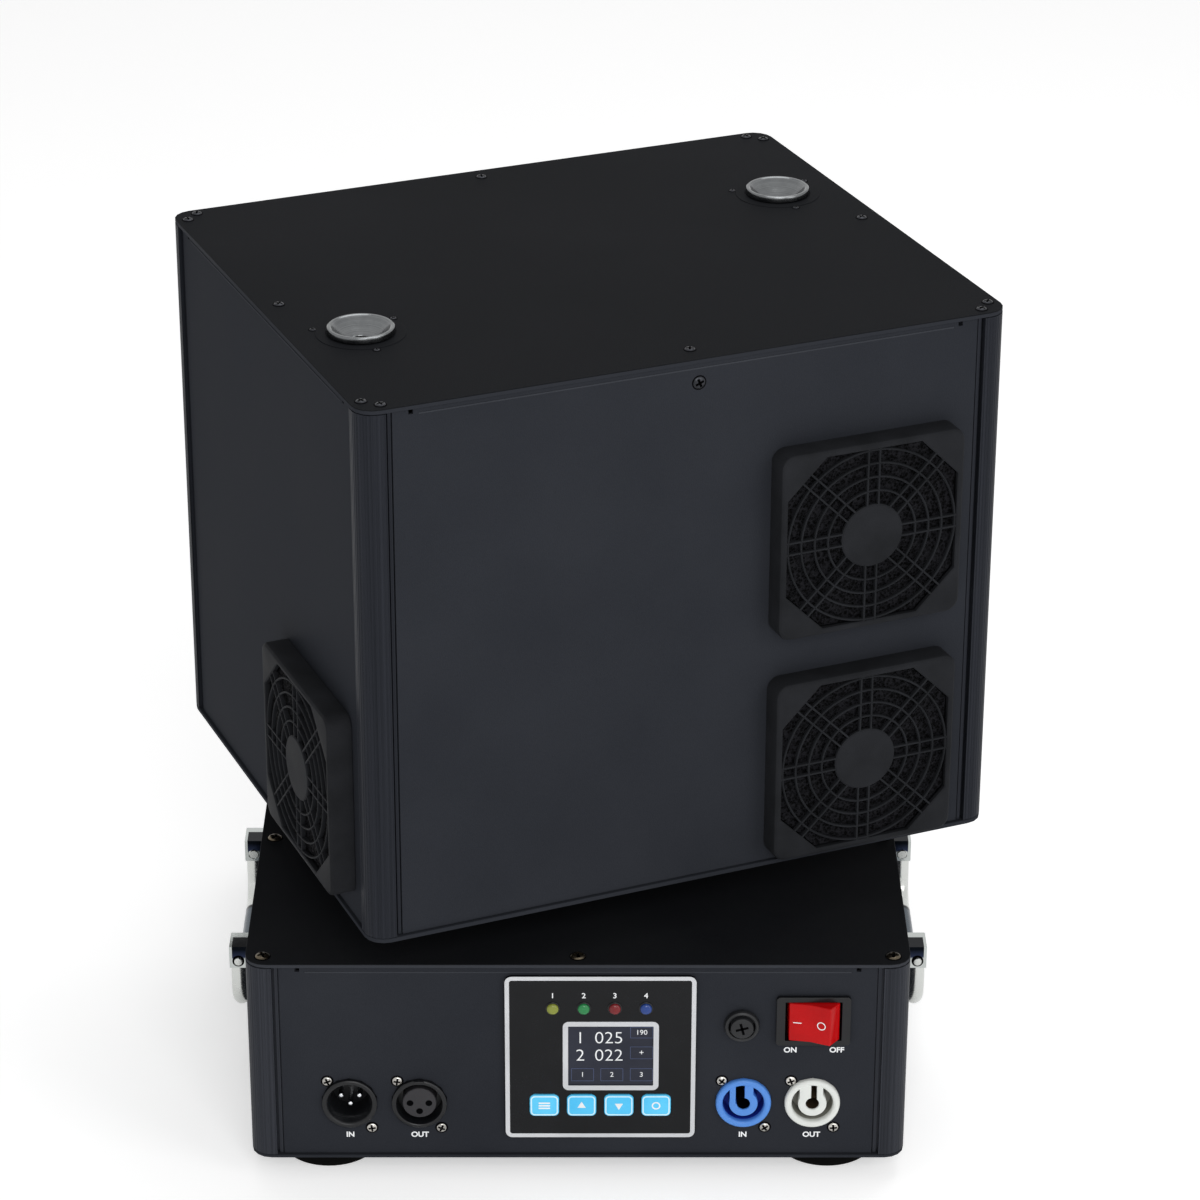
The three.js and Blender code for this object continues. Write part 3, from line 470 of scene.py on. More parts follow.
def settled(name, mesh, finish, body, replaces, sharp):
    mesh.materials.clear()
    mesh.materials.append(finish.material)
    mesh.shade_smooth()
    mesh.set_sharp_from_angle(angle=math.radians(sharp))
    piece = bpy.data.objects.new(name, mesh)
    bpy.context.scene.collection.objects.link(piece)
    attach(piece, body)
    if replaces:
        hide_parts(*replaces)
    return piece


def softened(node, finish, body, width=0.3):  # a CAD piece with its edges broken
    shape = bmesh.new()
    shape.from_mesh(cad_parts[node].data)
    bmesh.ops.remove_doubles(shape, verts=shape.verts, dist=0.00001)
    bmesh.ops.dissolve_limit(shape, angle_limit=0.01, verts=shape.verts, edges=shape.edges)
    mesh = bpy.data.meshes.new(node)
    shape.to_mesh(mesh)
    shape.free()
    piece = settled("soft_" + node, mesh, finish, body, [node], 30)
    edge = piece.modifiers.new("edge", "BEVEL")
    edge.width = width / 1000
    edge.segments = 2
    edge.limit_method = "ANGLE"
    edge.angle_limit = math.radians(40)
    edge.harden_normals = True
    return piece


# Sheet and plates
softened("base_bottom_plate", panelPaint, "base", 0.4)
softened("base_top_plate", baseLidPaint, "base", 0.4)
for side in sides:
    softened(f"base_{side}_panel", panelPaint, "base")
    softened(f"head_{side}_panel", panelPaint, "head")
softened("head_bottom_plate", panelPaint, "head", 0.4)
softened("head_top_plate", headLidPaint, "head", 0.4)
for side in ["left", "right"]:
    softened(f"handle_bracket_{side}", clevisChrome, "base", 0.35)
softened("switch_housing", mouldedBlack, "base", 0.3)
# Fold lines: thin beads in a paler tone, a painted highlight along each bend
fold = {"base": 93.3, "head": 238.4, "proud": 0.18, "width": 0.7, "inset": 25.7, "edge": 0.1}
for body, box, sizes in boxes:
    creases = Piece()
    for side in range(4):
        width = (sizes["depth"] if side % 2 else sizes["length"]) - 2 * fold["inset"]
        crease = block(width, fold["width"], fold["proud"], 0, fold["edge"])
        creases.add(crease, facing(box, side, faceOf(sizes, side), 0, fold[body]))
    creases.settle(body + "_fold_lines", paintedFoldHighlight, body)
print("sheet and plates softened")

# Corner extrusions
post = {"face": 11.5, "radius": 9, "inside": (3.2, 22, 5.4, 12)}  # rebate, reach, inner, core
flutes = {"count": 13, "depth": 0.14, "width": 0.6}
ridge = {"start": 12.6, "end": 14, "depth": 1.7}
postEnds = {"base": (1.8, 95.7), "head": (2.3, 240.7)}


def flutedSpot(along, depth):
    straight = post["face"] - post["radius"]
    bend = math.pi / 2 * post["radius"]
    if along < straight:
        return post["face"] - along, depth
    if along > straight + bend:
        return depth, post["radius"] + along - straight - bend
    angle = -math.pi / 2 - (along - straight) / post["radius"]
    reach = post["radius"] - depth
    return post["radius"] + reach * math.cos(angle), post["radius"] + reach * math.sin(angle)


def postShape(height):
    total = 2 * (post["face"] - post["radius"]) + math.pi / 2 * post["radius"]
    points = [flutedSpot(0, 0)]
    for i in range(flutes["count"]):
        middle = total * (i + 0.5) / flutes["count"]
        for share, depth in [(-0.5, 0), (-0.25, 1), (0.25, 1), (0.5, 0)]:
            points.append(flutedSpot(middle + share * flutes["width"], depth * flutes["depth"]))
    points.append(flutedSpot(total, 0))
    face, rebate, reach, inner, core = post["face"], *post["inside"]
    start, end, deep = ridge["start"], ridge["end"], ridge["depth"]
    bump = [(rebate, start), (deep, start), (deep, end), (rebate, end)]
    points += [(rebate, face), *bump, (rebate, reach), (inner, reach), (inner, core), (core, core)]
    points += [(core, inner), (reach, inner), (reach, rebate), *((y, x) for x, y in reversed(bump))]
    points.append((face, rebate))
    return extruded(points, height)


for body, box, sizes in boxes:
    low, high = postEnds[body]
    for i, (along, across) in enumerate([(-1, -1), (1, -1), (1, 1), (-1, 1)]):
        corner = at(along * sizes["length"] / 2, across * sizes["depth"] / 2, low)
        spot = box @ corner @ about("Z", i * math.pi / 2)
        node = f"{body}_{corners[i]}_post"
        fluted = Piece().add(postShape(high - low))
        fluted.settle("fluted_" + node, extrusion[body], body, spot, [node], 20)
print("posts fluted")

# Feet
foot = {"radius": 22, "top": 20, "height": 11.7, "inset": 33, "edge": 1.4}
foot.update({"dish": 9, "dishDepth": 4})
footProfile = [
    (0, foot["dishDepth"]),
    (foot["dish"] - 1, foot["dishDepth"]),
    (foot["dish"], foot["dishDepth"] - 0.6),
    (foot["dish"] + 0.4, 0.5),
    (foot["dish"] + 1, 0),
    (foot["radius"] - foot["edge"], 0),
    (foot["radius"] - 0.4, 0.4),
    (foot["radius"], foot["edge"]),
    (foot["top"] + 0.4, foot["height"] - 0.9),
    (foot["top"] - 0.3, foot["height"]),
    (0, foot["height"]),
]
footScrew = [(0, 3.9), (4.2, 3.9), (4.2, 2.4), (3.4, 1.6), (0, 1.4)]
footOut = baseBox["length"] / 2 - foot["inset"]
for i, corner in enumerate(corners):
    spot = about("Z", i * math.pi / 2) @ at(-footOut, -footOut)
    pad = Piece().add(turned(footProfile, 56))
    pad.settle("pad_" + corner, footRubber, "base", spot, ["foot_" + corner])
    Piece().add(turned(footScrew, 32)).settle("pad_screw_" + corner, screwNickel, "base", spot)
print("feet turned")

# Handles: a round bar bent twice, on pins through the brackets' ears
bail = {"half": 49.5, "radius": 4, "pivot": 48.5, "tail": 2.6, "drop": 26, "bend": 10, "out": 11.8}


def pushed(shape, face, vector):
    made = bmesh.ops.extrude_face_region(shape, geom=[face])["geom"]
    moved(shape, made, vector)
    return lastFace(made)


def bent(shape, face, centre):
    ring = [face, *face.edges, *face.verts]
    spun = {"cent": centre, "axis": (0, 0, 1), "angle": math.pi / 2, "steps": 10}
    return lastFace(bmesh.ops.spin(shape, geom=ring, **spun)["geom_last"])


def bailShape():
    shape = bmesh.new()
    half, bend, low = bail["half"], bail["bend"], bail["pivot"] - bail["drop"]
    top = bail["pivot"] + bail["tail"]
    ring = {"segments": 24, "radius": bail["radius"]}
    start = at(-half, top) @ about("X", math.pi / 2)
    bmesh.ops.create_circle(shape, cap_ends=True, matrix=start, **ring)
    face = pushed(shape, shape.faces[:][0], (0, low + bend - top, 0))
    face = bent(shape, face, (bend - half, low + bend, 0))
    face = pushed(shape, face, (2 * (half - bend), 0, 0))
    face = bent(shape, face, (half - bend, low + bend, 0))
    pushed(shape, face, (0, top - low - bend, 0))
    bmesh.ops.remove_doubles(shape, verts=shape.verts, dist=0.001)
    ends = [e for e in shape.edges if all(v.co.y > top - 0.01 for v in e.verts)]
    bevelled(shape, ends, 0.7, 3)
    return shape


pivotProfile = [(0, -7), (2, -7), (2, 7.3), (1.7, 7.8), (0, 8)]
# a dark ring round each pin head: painted shade
pivotShadowRing = [(2.05, 6.6), (2.7, 6.6), (2.7, 6.9), (2.05, 6.9)]
pins = []
for end in [-1, 1]:
    pins.append(at(end * bail["half"], bail["pivot"]) @ about("Y", end * math.pi / 2))
for name, side in [("right", 1), ("left", 3)]:
    spot = facing(onBase, side, faceOf(baseBox, side) + bail["out"], 0, 0)
    loop = Piece().add(bailShape()).add(turned(pivotProfile, 28), *pins)
    loop.settle("bar_" + name, barChrome, "bail_" + name, spot, ["handle_bail_" + name])
    # painted shade round the pin heads
    rings = Piece().add(turned(pivotShadowRing, 28, closed=True), *pins)
    rings.settle("pivot_rings_" + name, paintedShade, "bail_" + name, spot)
print("handles bent")

# Bearing ring between the boxes
ringProfile = [
    (34.6, 88.3),
    (42, 88.3),
    (42, 98.3),
    (61.2, 98.3),
    (62, 99.1),
    (62, 105.3),
    (61.4, 106.2),
    (60.4, 106.6),
    (50, 111),
    (48.4, 113),
    (48, 121.7),
    (34.6, 121.7),
]
bearing = Piece().add(turned(ringProfile, 96, closed=True))
bearing.settle("turned_bearing_ring", extrusion["base"], "base", onBase, ["bearing_ring"], 25)
print("bearing ring turned")

# Fan guards: a hollow square cover, its grille, and the filter foam in its cavity
guard = {"half": 42.5, "corner": 6, "depth": 11, "wall": 1.8, "face": 2.2, "back": 0.3}
guard.update({"window": 39.5, "cut": 17.5})
grille = {"hub": 14.2, "rings": [20.4, 26.6, 32.8, 39], "bar": 0.9, "pair": 2.6, "top": 10.7}
grille.update({"spokeDepth": 1.9, "lap": 0.6})
guardPlaces = {
    "front_lower": (0, 79, 48.5),
    "front_upper": (0, 79, 154.5),
    "right": (1, 59, 55.5),
    "rear_lower": (2, 79, 48.5),
    "rear_upper": (2, 79, 154.5),
    "left": (3, 59, 55.5),
}


def coverShape():
    half, corner, depth = guard["half"], guard["corner"], guard["depth"]
    inner, innerCorner = half - guard["wall"], corner - guard["wall"]
    window, cut, back = guard["window"], guard["cut"], depth - guard["face"]
    return squareTube(
        [
            (half, corner, guard["back"], False),
            (half, corner, depth - 1.6, False),
            (half - 0.35, corner - 0.35, depth - 0.7, False),
            (half - 1.1, corner - 1.1, depth - 0.1, False),
            (half - 1.6, corner - 1.6, depth, False),
            (window + 0.5, cut + 0.2, depth, True),
            (window, cut, depth - 0.4, True),
            (window, cut, back, True),
            (inner, innerCorner, back, False),
            (inner, innerCorner, guard["back"], False),
        ]
    )


def barProfile(radius):
    half, top = grille["bar"] / 2, grille["top"]
    return [
        (radius - half, top - 1.7),
        (radius + half, top - 1.7),
        (radius + half, top - 0.3),
        (radius + half - 0.3, top),
        (radius - half + 0.3, top),
        (radius - half, top - 0.3),
    ]


def grillePiece():
    piece = Piece()
    for radius in grille["rings"]:
        piece.add(turned(barProfile(radius), 88, closed=True))
    hub, top, width, depth = (grille[k] for k in ["hub", "top", "bar", "spokeDepth"])
    plug = [(0, 8.9), (hub - 0.4, 8.9), (hub, 9.3), (hub, top - 0.2)]
    plug += [(hub - 0.6, top + 0.2), (0, top + 0.2)]
    piece.add(turned(plug, 72))
    slanted = 1.414 * (guard["window"] - guard["cut"] / 2)
    for spoke in range(8):
        reach = (slanted if spoke % 2 else guard["window"]) + grille["lap"]
        turn = about("Z", spoke * math.pi / 4)
        for side in [-1, 1]:
            spot = at((hub + reach) / 2 - 0.5, side * grille["pair"], top - depth)
            piece.add(block(reach - hub + 1, width, depth, 0, 0.25), turn @ spot)
    return piece


filterPad = {"half": 39.2, "cut": 17.4, "levels": [0.5, 8.2]}
for name, (side, x, z) in guardPlaces.items():
    spot = facing(onHead, side, faceOf(turningBox, side), x, z)
    cover = grillePiece().add(coverShape())
    cover.settle("cover_" + name, guardPlastic, "head", spot, ["fan_guard_" + name], 28)
    pad = bmesh.new()
    loops = []
    for level in filterPad["levels"]:
        loops.append(squareLoop(pad, filterPad["half"], filterPad["cut"], level, True))
    bmesh.ops.bridge_loops(pad, edges=loops[0] + loops[1])
    bmesh.ops.holes_fill(pad, edges=pad.edges)
    Piece().add(pad).settle("filter_" + name, filterFoam, "head", spot)
print("fan guards built")

# Nozzles: a dished lip over a barrel, on a thin ring held by three screws
nozzle = {"x": 115, "y": 43, "screwCircle": 20.4}
nozzleProfile = [
    (0, -92),
    (10, -92),
    (10.7, -91.3),
    (10.7, 0.3),
    (14, 0.3),
    (14.25, 0.6),
    (14.25, 2.3),
    (14.05, 2.9),
    (13.6, 3.2),
    (12.9, 3.2),
    (12.3, 2.9),
    (10.6, 0.6),
    (8.4, -1.6),
    (6.7, -3),
    (6.2, -3.9),
    (6.2, -88),
    (0, -88),
]
ringWasher = [(14.5, 0), (19, 0), (19, 0.1), (18.8, 0.25), (14.7, 0.25), (14.5, 0.1)]
for name, end in [("left", -1), ("right", 1)]:
    spot = onHead @ at(end * nozzle["x"], end * nozzle["y"], turningBox["height"])
    lathe = latheCut("steel_part", "5d5f61", "7b7d7e", spot.translation / 1000, "z", 0.12)
    funnel = Piece().add(turned(nozzleProfile, 72))
    funnel.settle("turned_nozzle_" + name, lathe, "head", spot, ["nozzle_" + name], 25)
    washer = Piece().add(turned(ringWasher, 72, closed=True))
    washer.settle("nozzle_ring_" + name, platePaint, "head", spot)
print("nozzles turned")


# Screws with a cross in a low round head
def crossHead(radius, height):
    dome = [(0, 0), (radius, 0), (radius, height * 0.3), (radius * 0.86, height * 0.72)]
    dome += [(radius * 0.6, height * 0.93), (radius * 0.3, height), (0, height)]
    whole = Piece().add(turned(dome, 28)).mesh
    cutter = Piece()
    for turn in [0, 1]:
        slot = block(radius * 1.44, radius * 0.4, 2 * height)
        cutter.add(slot, about("Z", turn * math.pi / 2) @ at(0, 0, height * 0.12))
    parts = []
    for shape in [whole, cutter.mesh]:
        mesh = bpy.data.meshes.new("screw")
        shape.to_mesh(mesh)
        shape.free()
        parts.append(bpy.data.objects.new("screw", mesh))
    bpy.context.scene.collection.objects.link(parts[1])
    recess = parts[0].modifiers.new("recess", "BOOLEAN")
    recess.object = parts[1]
    recess.use_self = True
    mesh = ownMesh(parts[0])
    bpy.data.objects.remove(parts[1])
    return mesh


def screws(name, finish, body, places):
    radius, height = screwSizes[name]
    turnedPlaces = [place @ about("Z", 0.4 + 1.3 * i) for i, place in enumerate(places)]
    heads = bmesh.new()
    heads.from_mesh(crossHead(radius, height))
    Piece().add(heads, *turnedPlaces).settle(name, finish, body, sharp=40)
    # painted shade: dark floors in the cross and a dark ring round each head
    floors = Piece()
    for turn in [0, 1]:
        slot = block(radius * 1.4, radius * 0.38, height * 0.06)
        quarter = about("Z", turn * math.pi / 2) @ at(0, 0, height * 0.13)
        floors.add(slot, *[place @ quarter for place in turnedPlaces])
    seatShadow = [(radius - 0.1, 0), (radius + 0.5, 0), (radius + 0.5, 0.06), (radius - 0.1, 0.06)]
    floors.add(turned(seatShadow, 28, closed=True), *places)
    floors.settle(name + "_recess", paintedShade, body)


screwSizes = {  # radius and height of the head
    "base_lid_screws": (3.1, 1.1),
    "base_floor_screws": (3.1, 1.1),
    "head_lid_screws": (2.2, 0.8),
    "head_floor_screws": (2.2, 0.8),
    "nozzle_screws": (1.3, 0.5),
    "head_panel_screws": (2.7, 0.9),
    "connector_screws": (2.3, 1),
}
baseScrew = {"x": 135.5, "y": 136.3, "side": 137, "front": -31, "back": 80}
baseX, baseY, edgeX = baseScrew["x"], baseScrew["y"], baseScrew["side"]
lidSpots = [(-baseX, -baseY), (0, -baseY), (baseX, -baseY)]
lidSpots += [(end * edgeX, y) for y in [baseScrew["front"], baseScrew["back"]] for end in [-1, 1]]
lidSpots += [(-baseX, baseY), (0, baseY), (baseX, baseY)]
floorSpots = [(x, y) for x in [-baseX, baseX] for y in [-baseY, baseY]] + [(0, -baseY), (0, baseY)]
baseLid = [onBase @ at(x, y, baseBox["height"]) for x, y in lidSpots]
screws("base_lid_screws", screwDull, "base", baseLid)
screws("base_floor_screws", screwBlack, "base", [onBase @ at(x, y) @ under for x, y in floorSpots])

headX, headY = turningBox["length"] / 2, turningBox["depth"] / 2
headScrew = {"near": 5, "far": 11, "middle": 9, "shift": 3}
pairs = [(headScrew["near"], headScrew["far"]), (headScrew["far"], headScrew["near"])]
quarters = [(across, along) for across in [-1, 1] for along in [-1, 1]]
topSpots = [(sx * (headX - x), sy * (headY - y)) for sx, sy in quarters for x, y in pairs]
topSpots += [(0, headY - headScrew["middle"]), (headScrew["shift"], headScrew["far"] - headY)]
topSpots += [(headScrew["middle"] - headX, 0), (headX - headScrew["middle"], 0)]
headLid = [onHead @ at(x, y, turningBox["height"]) for x, y in topSpots]
screws("head_lid_screws", screwBlack, "head", headLid)
screws("head_floor_screws", screwBlack, "head", [onHead @ at(x, y) @ under for x, y in topSpots])

nozzleScrews = []
for end in [-1, 1]:
    for third in range(3):
        angle, reach = 0.5 + third * 2 * math.pi / 3, nozzle["screwCircle"]
        x = end * nozzle["x"] + reach * math.cos(angle)
        y = end * nozzle["y"] + reach * math.sin(angle)
        nozzleScrews.append(onHead @ at(x, y, turningBox["height"]))
screws("nozzle_screws", screwBlack, "head", nozzleScrews)
panelScrew = {"x": 3, "z": 232}
panelScrews = []
for side in [0, 2]:
    spot = facing(onHead, side, faceOf(turningBox, side), panelScrew["x"], panelScrew["z"])
    panelScrews.append(spot)
screws("head_panel_screws", screwBlack, "head", panelScrews)
connectors = {
    "signal_inlet": (-99.4, 27.6),
    "signal_outlet": (-69, 27.6),
    "power_inlet": (72, 27.8),
    "power_outlet": (102, 27.8),
}
connectorScrews = []
for x, z in connectors.values():
    for aside, up in [(-9.5, 11), (9.5, -12.7)]:
        connectorScrews.append(facing(onBase, 0, faceOf(baseBox, 0), x + aside, z + up))
screws("connector_screws", screwNickel, "base", connectorScrews)
print("screws set")


# Front panel
def onPanel(x, z, out=0):
    return facing(onBase, 0, faceOf(baseBox, 0), x, z) @ at(0, 0, out)


def borderShape(width, height, corner, line, thickness):  # a rounded frame
    shape = block(width, height, thickness, corner)
    caps = [f for f in shape.faces if abs(f.normal.z) > 0.99]
    bmesh.ops.inset_individual(shape, faces=caps, thickness=line, use_even_offset=True)
    loops = [list(f.edges) for f in caps]
    bmesh.ops.delete(shape, geom=caps, context="FACES_ONLY")
    bmesh.ops.bridge_loops(shape, edges=loops[0] + loops[1])
    return shape


overlay = {"x": 9.7, "z": 51.35, "width": 82.4, "height": 81.1, "face": 1.5, "border": 1.9}
display = {"x": 14.2, "z": 52.25, "width": 36.9, "height": 29.9, "frame": 2.3, "ink": 1.2}
border = borderShape(overlay["width"], overlay["height"], 3, overlay["border"], 0.06)
spot = onPanel(overlay["x"], overlay["z"], overlay["face"] - 0.01)
Piece().add(border).settle("overlay_border", silverPrint, "base", spot)
wide, high = (display[k] + 2 * display["frame"] for k in ["width", "height"])
surround = borderShape(wide, high, 2.6, display["frame"], 0.25)
spot = onPanel(display["x"], display["z"], overlay["face"] - 0.02)
Piece().add(surround).settle("display_frame", silverPrint, "base", spot)
glass = block(display["width"] - 0.1, display["height"] - 0.1, 0.3, 0.4)
spot = onPanel(display["x"], display["z"], display["ink"] - 0.32)
Piece().add(glass).settle("display_glass", displayGlass, "base", spot)

large, small = (8.4, -0.012), (3.4, 0)  # size and weight of the digits
texts = [("1", -13.2, 8.7, large), ("025", -0.8, 8.7, large)]
texts += [("2", -13.2, -0.1, large), ("022", -0.8, -0.1, large)]
texts += [("1", -12.2, -9.7, small), ("2", 0.5, -9.7, small), ("3", 13.3, -9.7, small)]
texts += [("190", 13.3, 11.6, small), ("+", 13.3, 1.4, (4, 0))]
digits = Piece()
for words, x, z, style in texts:
    spot = onPanel(display["x"] + x, display["z"] + z, display["ink"])
    digits.add(letters(words, *style), spot)
digits.settle("display_digits", whiteInk, "base")
cells = [(13.3, 11.6, 5.6), (13.3, 1.4, 6.2), (-12.2, -9.7, 6.4), (0.5, -9.7, 6.4)]
cells.append((13.3, -9.7, 6.4))
lines = Piece()
for x, z, height in cells:
    spot = onPanel(display["x"] + x, display["z"] + z, display["ink"] - 0.02)
    lines.add(borderShape(9.8, height, 0.3, 0.2, 0.04), spot)
lines.settle("display_boxes", displayLines, "base")

lampRow = {"x": 9.2, "z": 76.2, "spacing": 13.4, "numbers": 82.4}
lampDome = [(0, 0), (2.55, 0), (2.55, 0.9), (2.3, 1.35), (1.7, 1.75), (0.9, 1.95), (0, 2)]
lampRing = [(2.5, 0), (3.1, 0), (3.1, 0.35), (2.9, 0.5), (2.5, 0.5)]
lampX = [lampRow["x"] + (i - 1.5) * lampRow["spacing"] for i in range(4)]
for i, lens in enumerate(lampLenses):
    spot = onPanel(lampX[i], lampRow["z"], overlay["face"])
    Piece().add(turned(lampDome, 32)).settle(f"lamp_{i + 1}", lens, "base", spot)
    ring = Piece().add(turned(lampRing, 32, closed=True))
    ring.settle(f"lamp_ring_{i + 1}", mouldedBlack, "base", spot)
numbers = Piece()
for i, x in enumerate(lampX):
    spot = onPanel(x, lampRow["numbers"], overlay["face"] + 0.02)
    numbers.add(letters(str(i + 1), 3.6, 0.012), spot)
numbers.settle("lamp_numbers", whiteInk, "base")

key = {"spacing": 16.2, "z": 27.4, "width": 12.8, "height": 10.7, "depth": 5, "top": 2.3}
keyLine = {"inside": 0.9, "corner": 1.9, "width": 0.6, "depth": 0.05}


def keySymbol(i):  # bars, up, down, ring
    flat = keyLine["depth"]
    if i == 0:
        return [(block(5, 0.7, flat), at(0, step)) for step in [-1.3, 0, 1.3]]
    if i == 3:
        ring = [(1.3, 0), (1.9, 0), (1.9, flat), (1.3, flat)]
        return [(turned(ring, 32, closed=True), at(0, 0))]
    arrow = turned([(0, 0), (2.1, 0), (2.1, flat), (0, flat)], 3)
    return [(arrow, about("Z", math.pi * (i - 0.5)))]


for i in range(4):
    body = f"key_{i + 1}"
    spot = onPanel(overlay["x"] + (i - 1.5) * key["spacing"], key["z"])
    printed = at(0, 0, key["top"] - 0.01)
    cap = block(key["width"], key["height"], key["depth"], 2.2, 0.5)
    cap = Piece().add(cap, at(0, 0, key["top"] - key["depth"]))
    cap.settle(f"cap_{i + 1}", keyCap, body, spot, [body])
    rim = [key[k] - keyLine["inside"] for k in ["width", "height"]]
    rim = borderShape(*rim, keyLine["corner"], keyLine["width"], keyLine["depth"])
    Piece().add(rim, printed).settle(f"cap_rim_{i + 1}", keyRim, body, spot)
    mark = Piece()
    for shape, place in keySymbol(i):
        mark.add(shape, printed @ place)
    mark.settle(f"cap_mark_{i + 1}", whiteInk, body, spot)
print("overlay dressed")

# Signal connectors
noseRim = [(10.5, 1.9), (11.4, 1.9), (11.9, 1.5), (12, 0.9)]
signalInlet = [(0, -14.1), (8.4, -14.1), (8.6, -13.9), (8.6, -2.4), (9.6, 0.9), (10.1, 1.7)]
signalInlet += [*noseRim, (12, -17), (0, -17)]
signalInsert = [(0, 0.5), (7.1, 0.5), (7.4, 0.2), (7.4, -6.5), (0, -6.5)]
signalOutlet = [(0, -6.1), (9.8, -6.1), (10, -5.9), (10, 1.1), (10.2, 1.7)]
signalOutlet += [*noseRim, (12, -12), (0, -12)]
pinCircle = {"radius": 4.1, "angles": [180, 0, 270]}
pinProfile = [(0, -14.5), (1.2, -14.5), (1.2, -6), (1, -5.4), (0.5, -5.1), (0, -5.1)]
pinSpots = []
for angle in pinCircle["angles"]:
    pinSpots.append(about("Z", math.radians(angle)) @ at(pinCircle["radius"], 0))
flange = {"half": 13, "rise": 15.5, "hole": 11.9, "thickness": 2.5, "back": 4.3}


def flangeShape():  # a plate with a round hole, behind the panel
    shape = bmesh.new()
    loops = []
    back = -flange["back"]
    front = back + flange["thickness"]
    for level, outer in [(back, True), (front, True), (front, False), (back, False)]:
        verts = []
        for i in range(64):
            angle = math.pi * (i + 0.5) / 32
            across, up = math.cos(angle), math.sin(angle)
            reach = min(flange["half"] / abs(across), flange["rise"] / abs(up))
            reach = reach if outer else flange["hole"]
            verts.append(shape.verts.new((reach * across, reach * up, level)))
        loops.append([shape.edges.new(pair) for pair in zip(verts, verts[1:] + verts[:1])])
    for loop, after in zip(loops, loops[1:] + loops[:1]):
        banded(shape, loop, after)
    return shape


spot = onPanel(*connectors["signal_inlet"])
inlet = Piece().add(turned(signalInlet, 64)).add(flangeShape())
inlet.add(block(1.8, 1.3, 11), at(0, 8.4, -14.1))
inlet.settle("signal_inlet_shell", mouldedBlack, "base", spot, ["signal_inlet"])
Piece().add(turned(pinProfile, 24), *pinSpots).settle("signal_pins", brightPin, "base", spot)
spot = onPanel(*connectors["signal_outlet"])
outlet = Piece().add(turned(signalOutlet, 64)).add(flangeShape())
outlet.settle("signal_outlet_shell", mouldedBlack, "base", spot, ["signal_outlet"])
Piece().add(turned(signalInsert, 56)).settle("signal_insert", insertGrey, "base", spot)
# dark discs for the socket holes: painted shade
socketHoleShade = [(0, 0), (1.5, 0), (1.5, 0.04), (0, 0.04)]
sockets = Piece().add(turned(socketHoleShade, 24), *[at(0, 0, 0.49) @ place for place in pinSpots])
sockets.settle("signal_sockets", paintedShade, "base", spot)
latch = Piece().add(block(4.6, 1.5, 1.1, 0.6, 0.3), at(0, 11.1, 1.2))
latch.settle("signal_latch", mouldedBlack, "base", spot)

# Power connectors: a shell, and in it a ring whose keyway opens upwards between two webs. Thin
# linings in the channel and bore carry painted shade
shell = [(9, -8.1), (9, 0.9), (9.4, 1.6), (9.9, 1.9), (11.3, 1.9), (11.9, 1.4), (12.1, 0.7)]
shell += [(12.1, -13), (9, -13)]
channel = [(6.3, -8), (8.98, -8), (8.98, -0.6), (8.94, -0.6), (8.94, -7.9), (6.3, -7.9)]
bore = [(0, -8), (6.2, -8), (6.2, -7.9), (0, -7.9)]
boreShadeLiner = [(2.84, -8), (2.89, -8), (2.89, 0.7), (2.84, 0.7)]
keyed = {"ring": 6.2, "bore": 2.9, "top": 1.5, "floor": -8.1, "end": 9.2}


def arcPoints(radius, start, end, steps):
    angles = [start + (end - start) * i / steps for i in range(steps + 1)]
    return [(radius * math.cos(angle), radius * math.sin(angle)) for angle in angles]


def keyedCore(left, right, webLeft, webRight):  # outline from the left web round to the right one
    ring, hole, end = keyed["ring"], keyed["bore"], keyed["end"]
    first = math.pi - math.acos(webLeft / ring)
    outer = arcPoints(ring, first, 2 * math.pi + math.acos(webRight / ring), 44)
    wide = left > hole
    last = -math.pi if wide else math.acos(-left / hole) - 2 * math.pi
    inner = arcPoints(hole, math.acos(right / hole), last, 28) + ([(-left, 0)] if wide else [])
    points = [(-webLeft, end), *outer, (webRight, end), (right, end), *inner, (-left, end)]
    shape = extruded(points, keyed["top"] - keyed["floor"])
    rim = [e for e in shape.edges if all(v.co.z > 1 for v in e.verts)]
    bevelled(shape, rim, 0.3, 2)
    return shape


for name, keyway, tones in [
    ("power_inlet", (3.4, 0.5, 6, 4.3), [inletShell, inletDeepShade, inletBoreShade]),
    ("power_outlet", (0.6, 1.9, 5.6, 4.6), [outletShell, outletDeepShade, outletBoreShade]),
]:
    spot = onPanel(*connectors[name])
    nose = Piece().add(turned(shell, 64, closed=True)).add(flangeShape())
    nose.add(keyedCore(*keyway), at(0, 0, keyed["floor"]))
    nose.settle(name + "_shell", tones[0], "base", spot, [name], 40)
    # painted shade: a thin darker lining on the channel's floor and outer wall
    groove = Piece().add(turned(channel, 56, closed=True))
    groove.settle(name + "_channel", tones[1], "base", spot)
    # painted shade: a near-black floor and lining down the bore and keyway
    back = Piece().add(turned(bore, 40)).add(block(6, 3.4, 0.1), at(-0.4, 7.4, -8))
    back.add(turned(boreShadeLiner, 40, closed=True))
    back.settle(name + "_bore", tones[2], "base", spot)
print("connectors dressed")

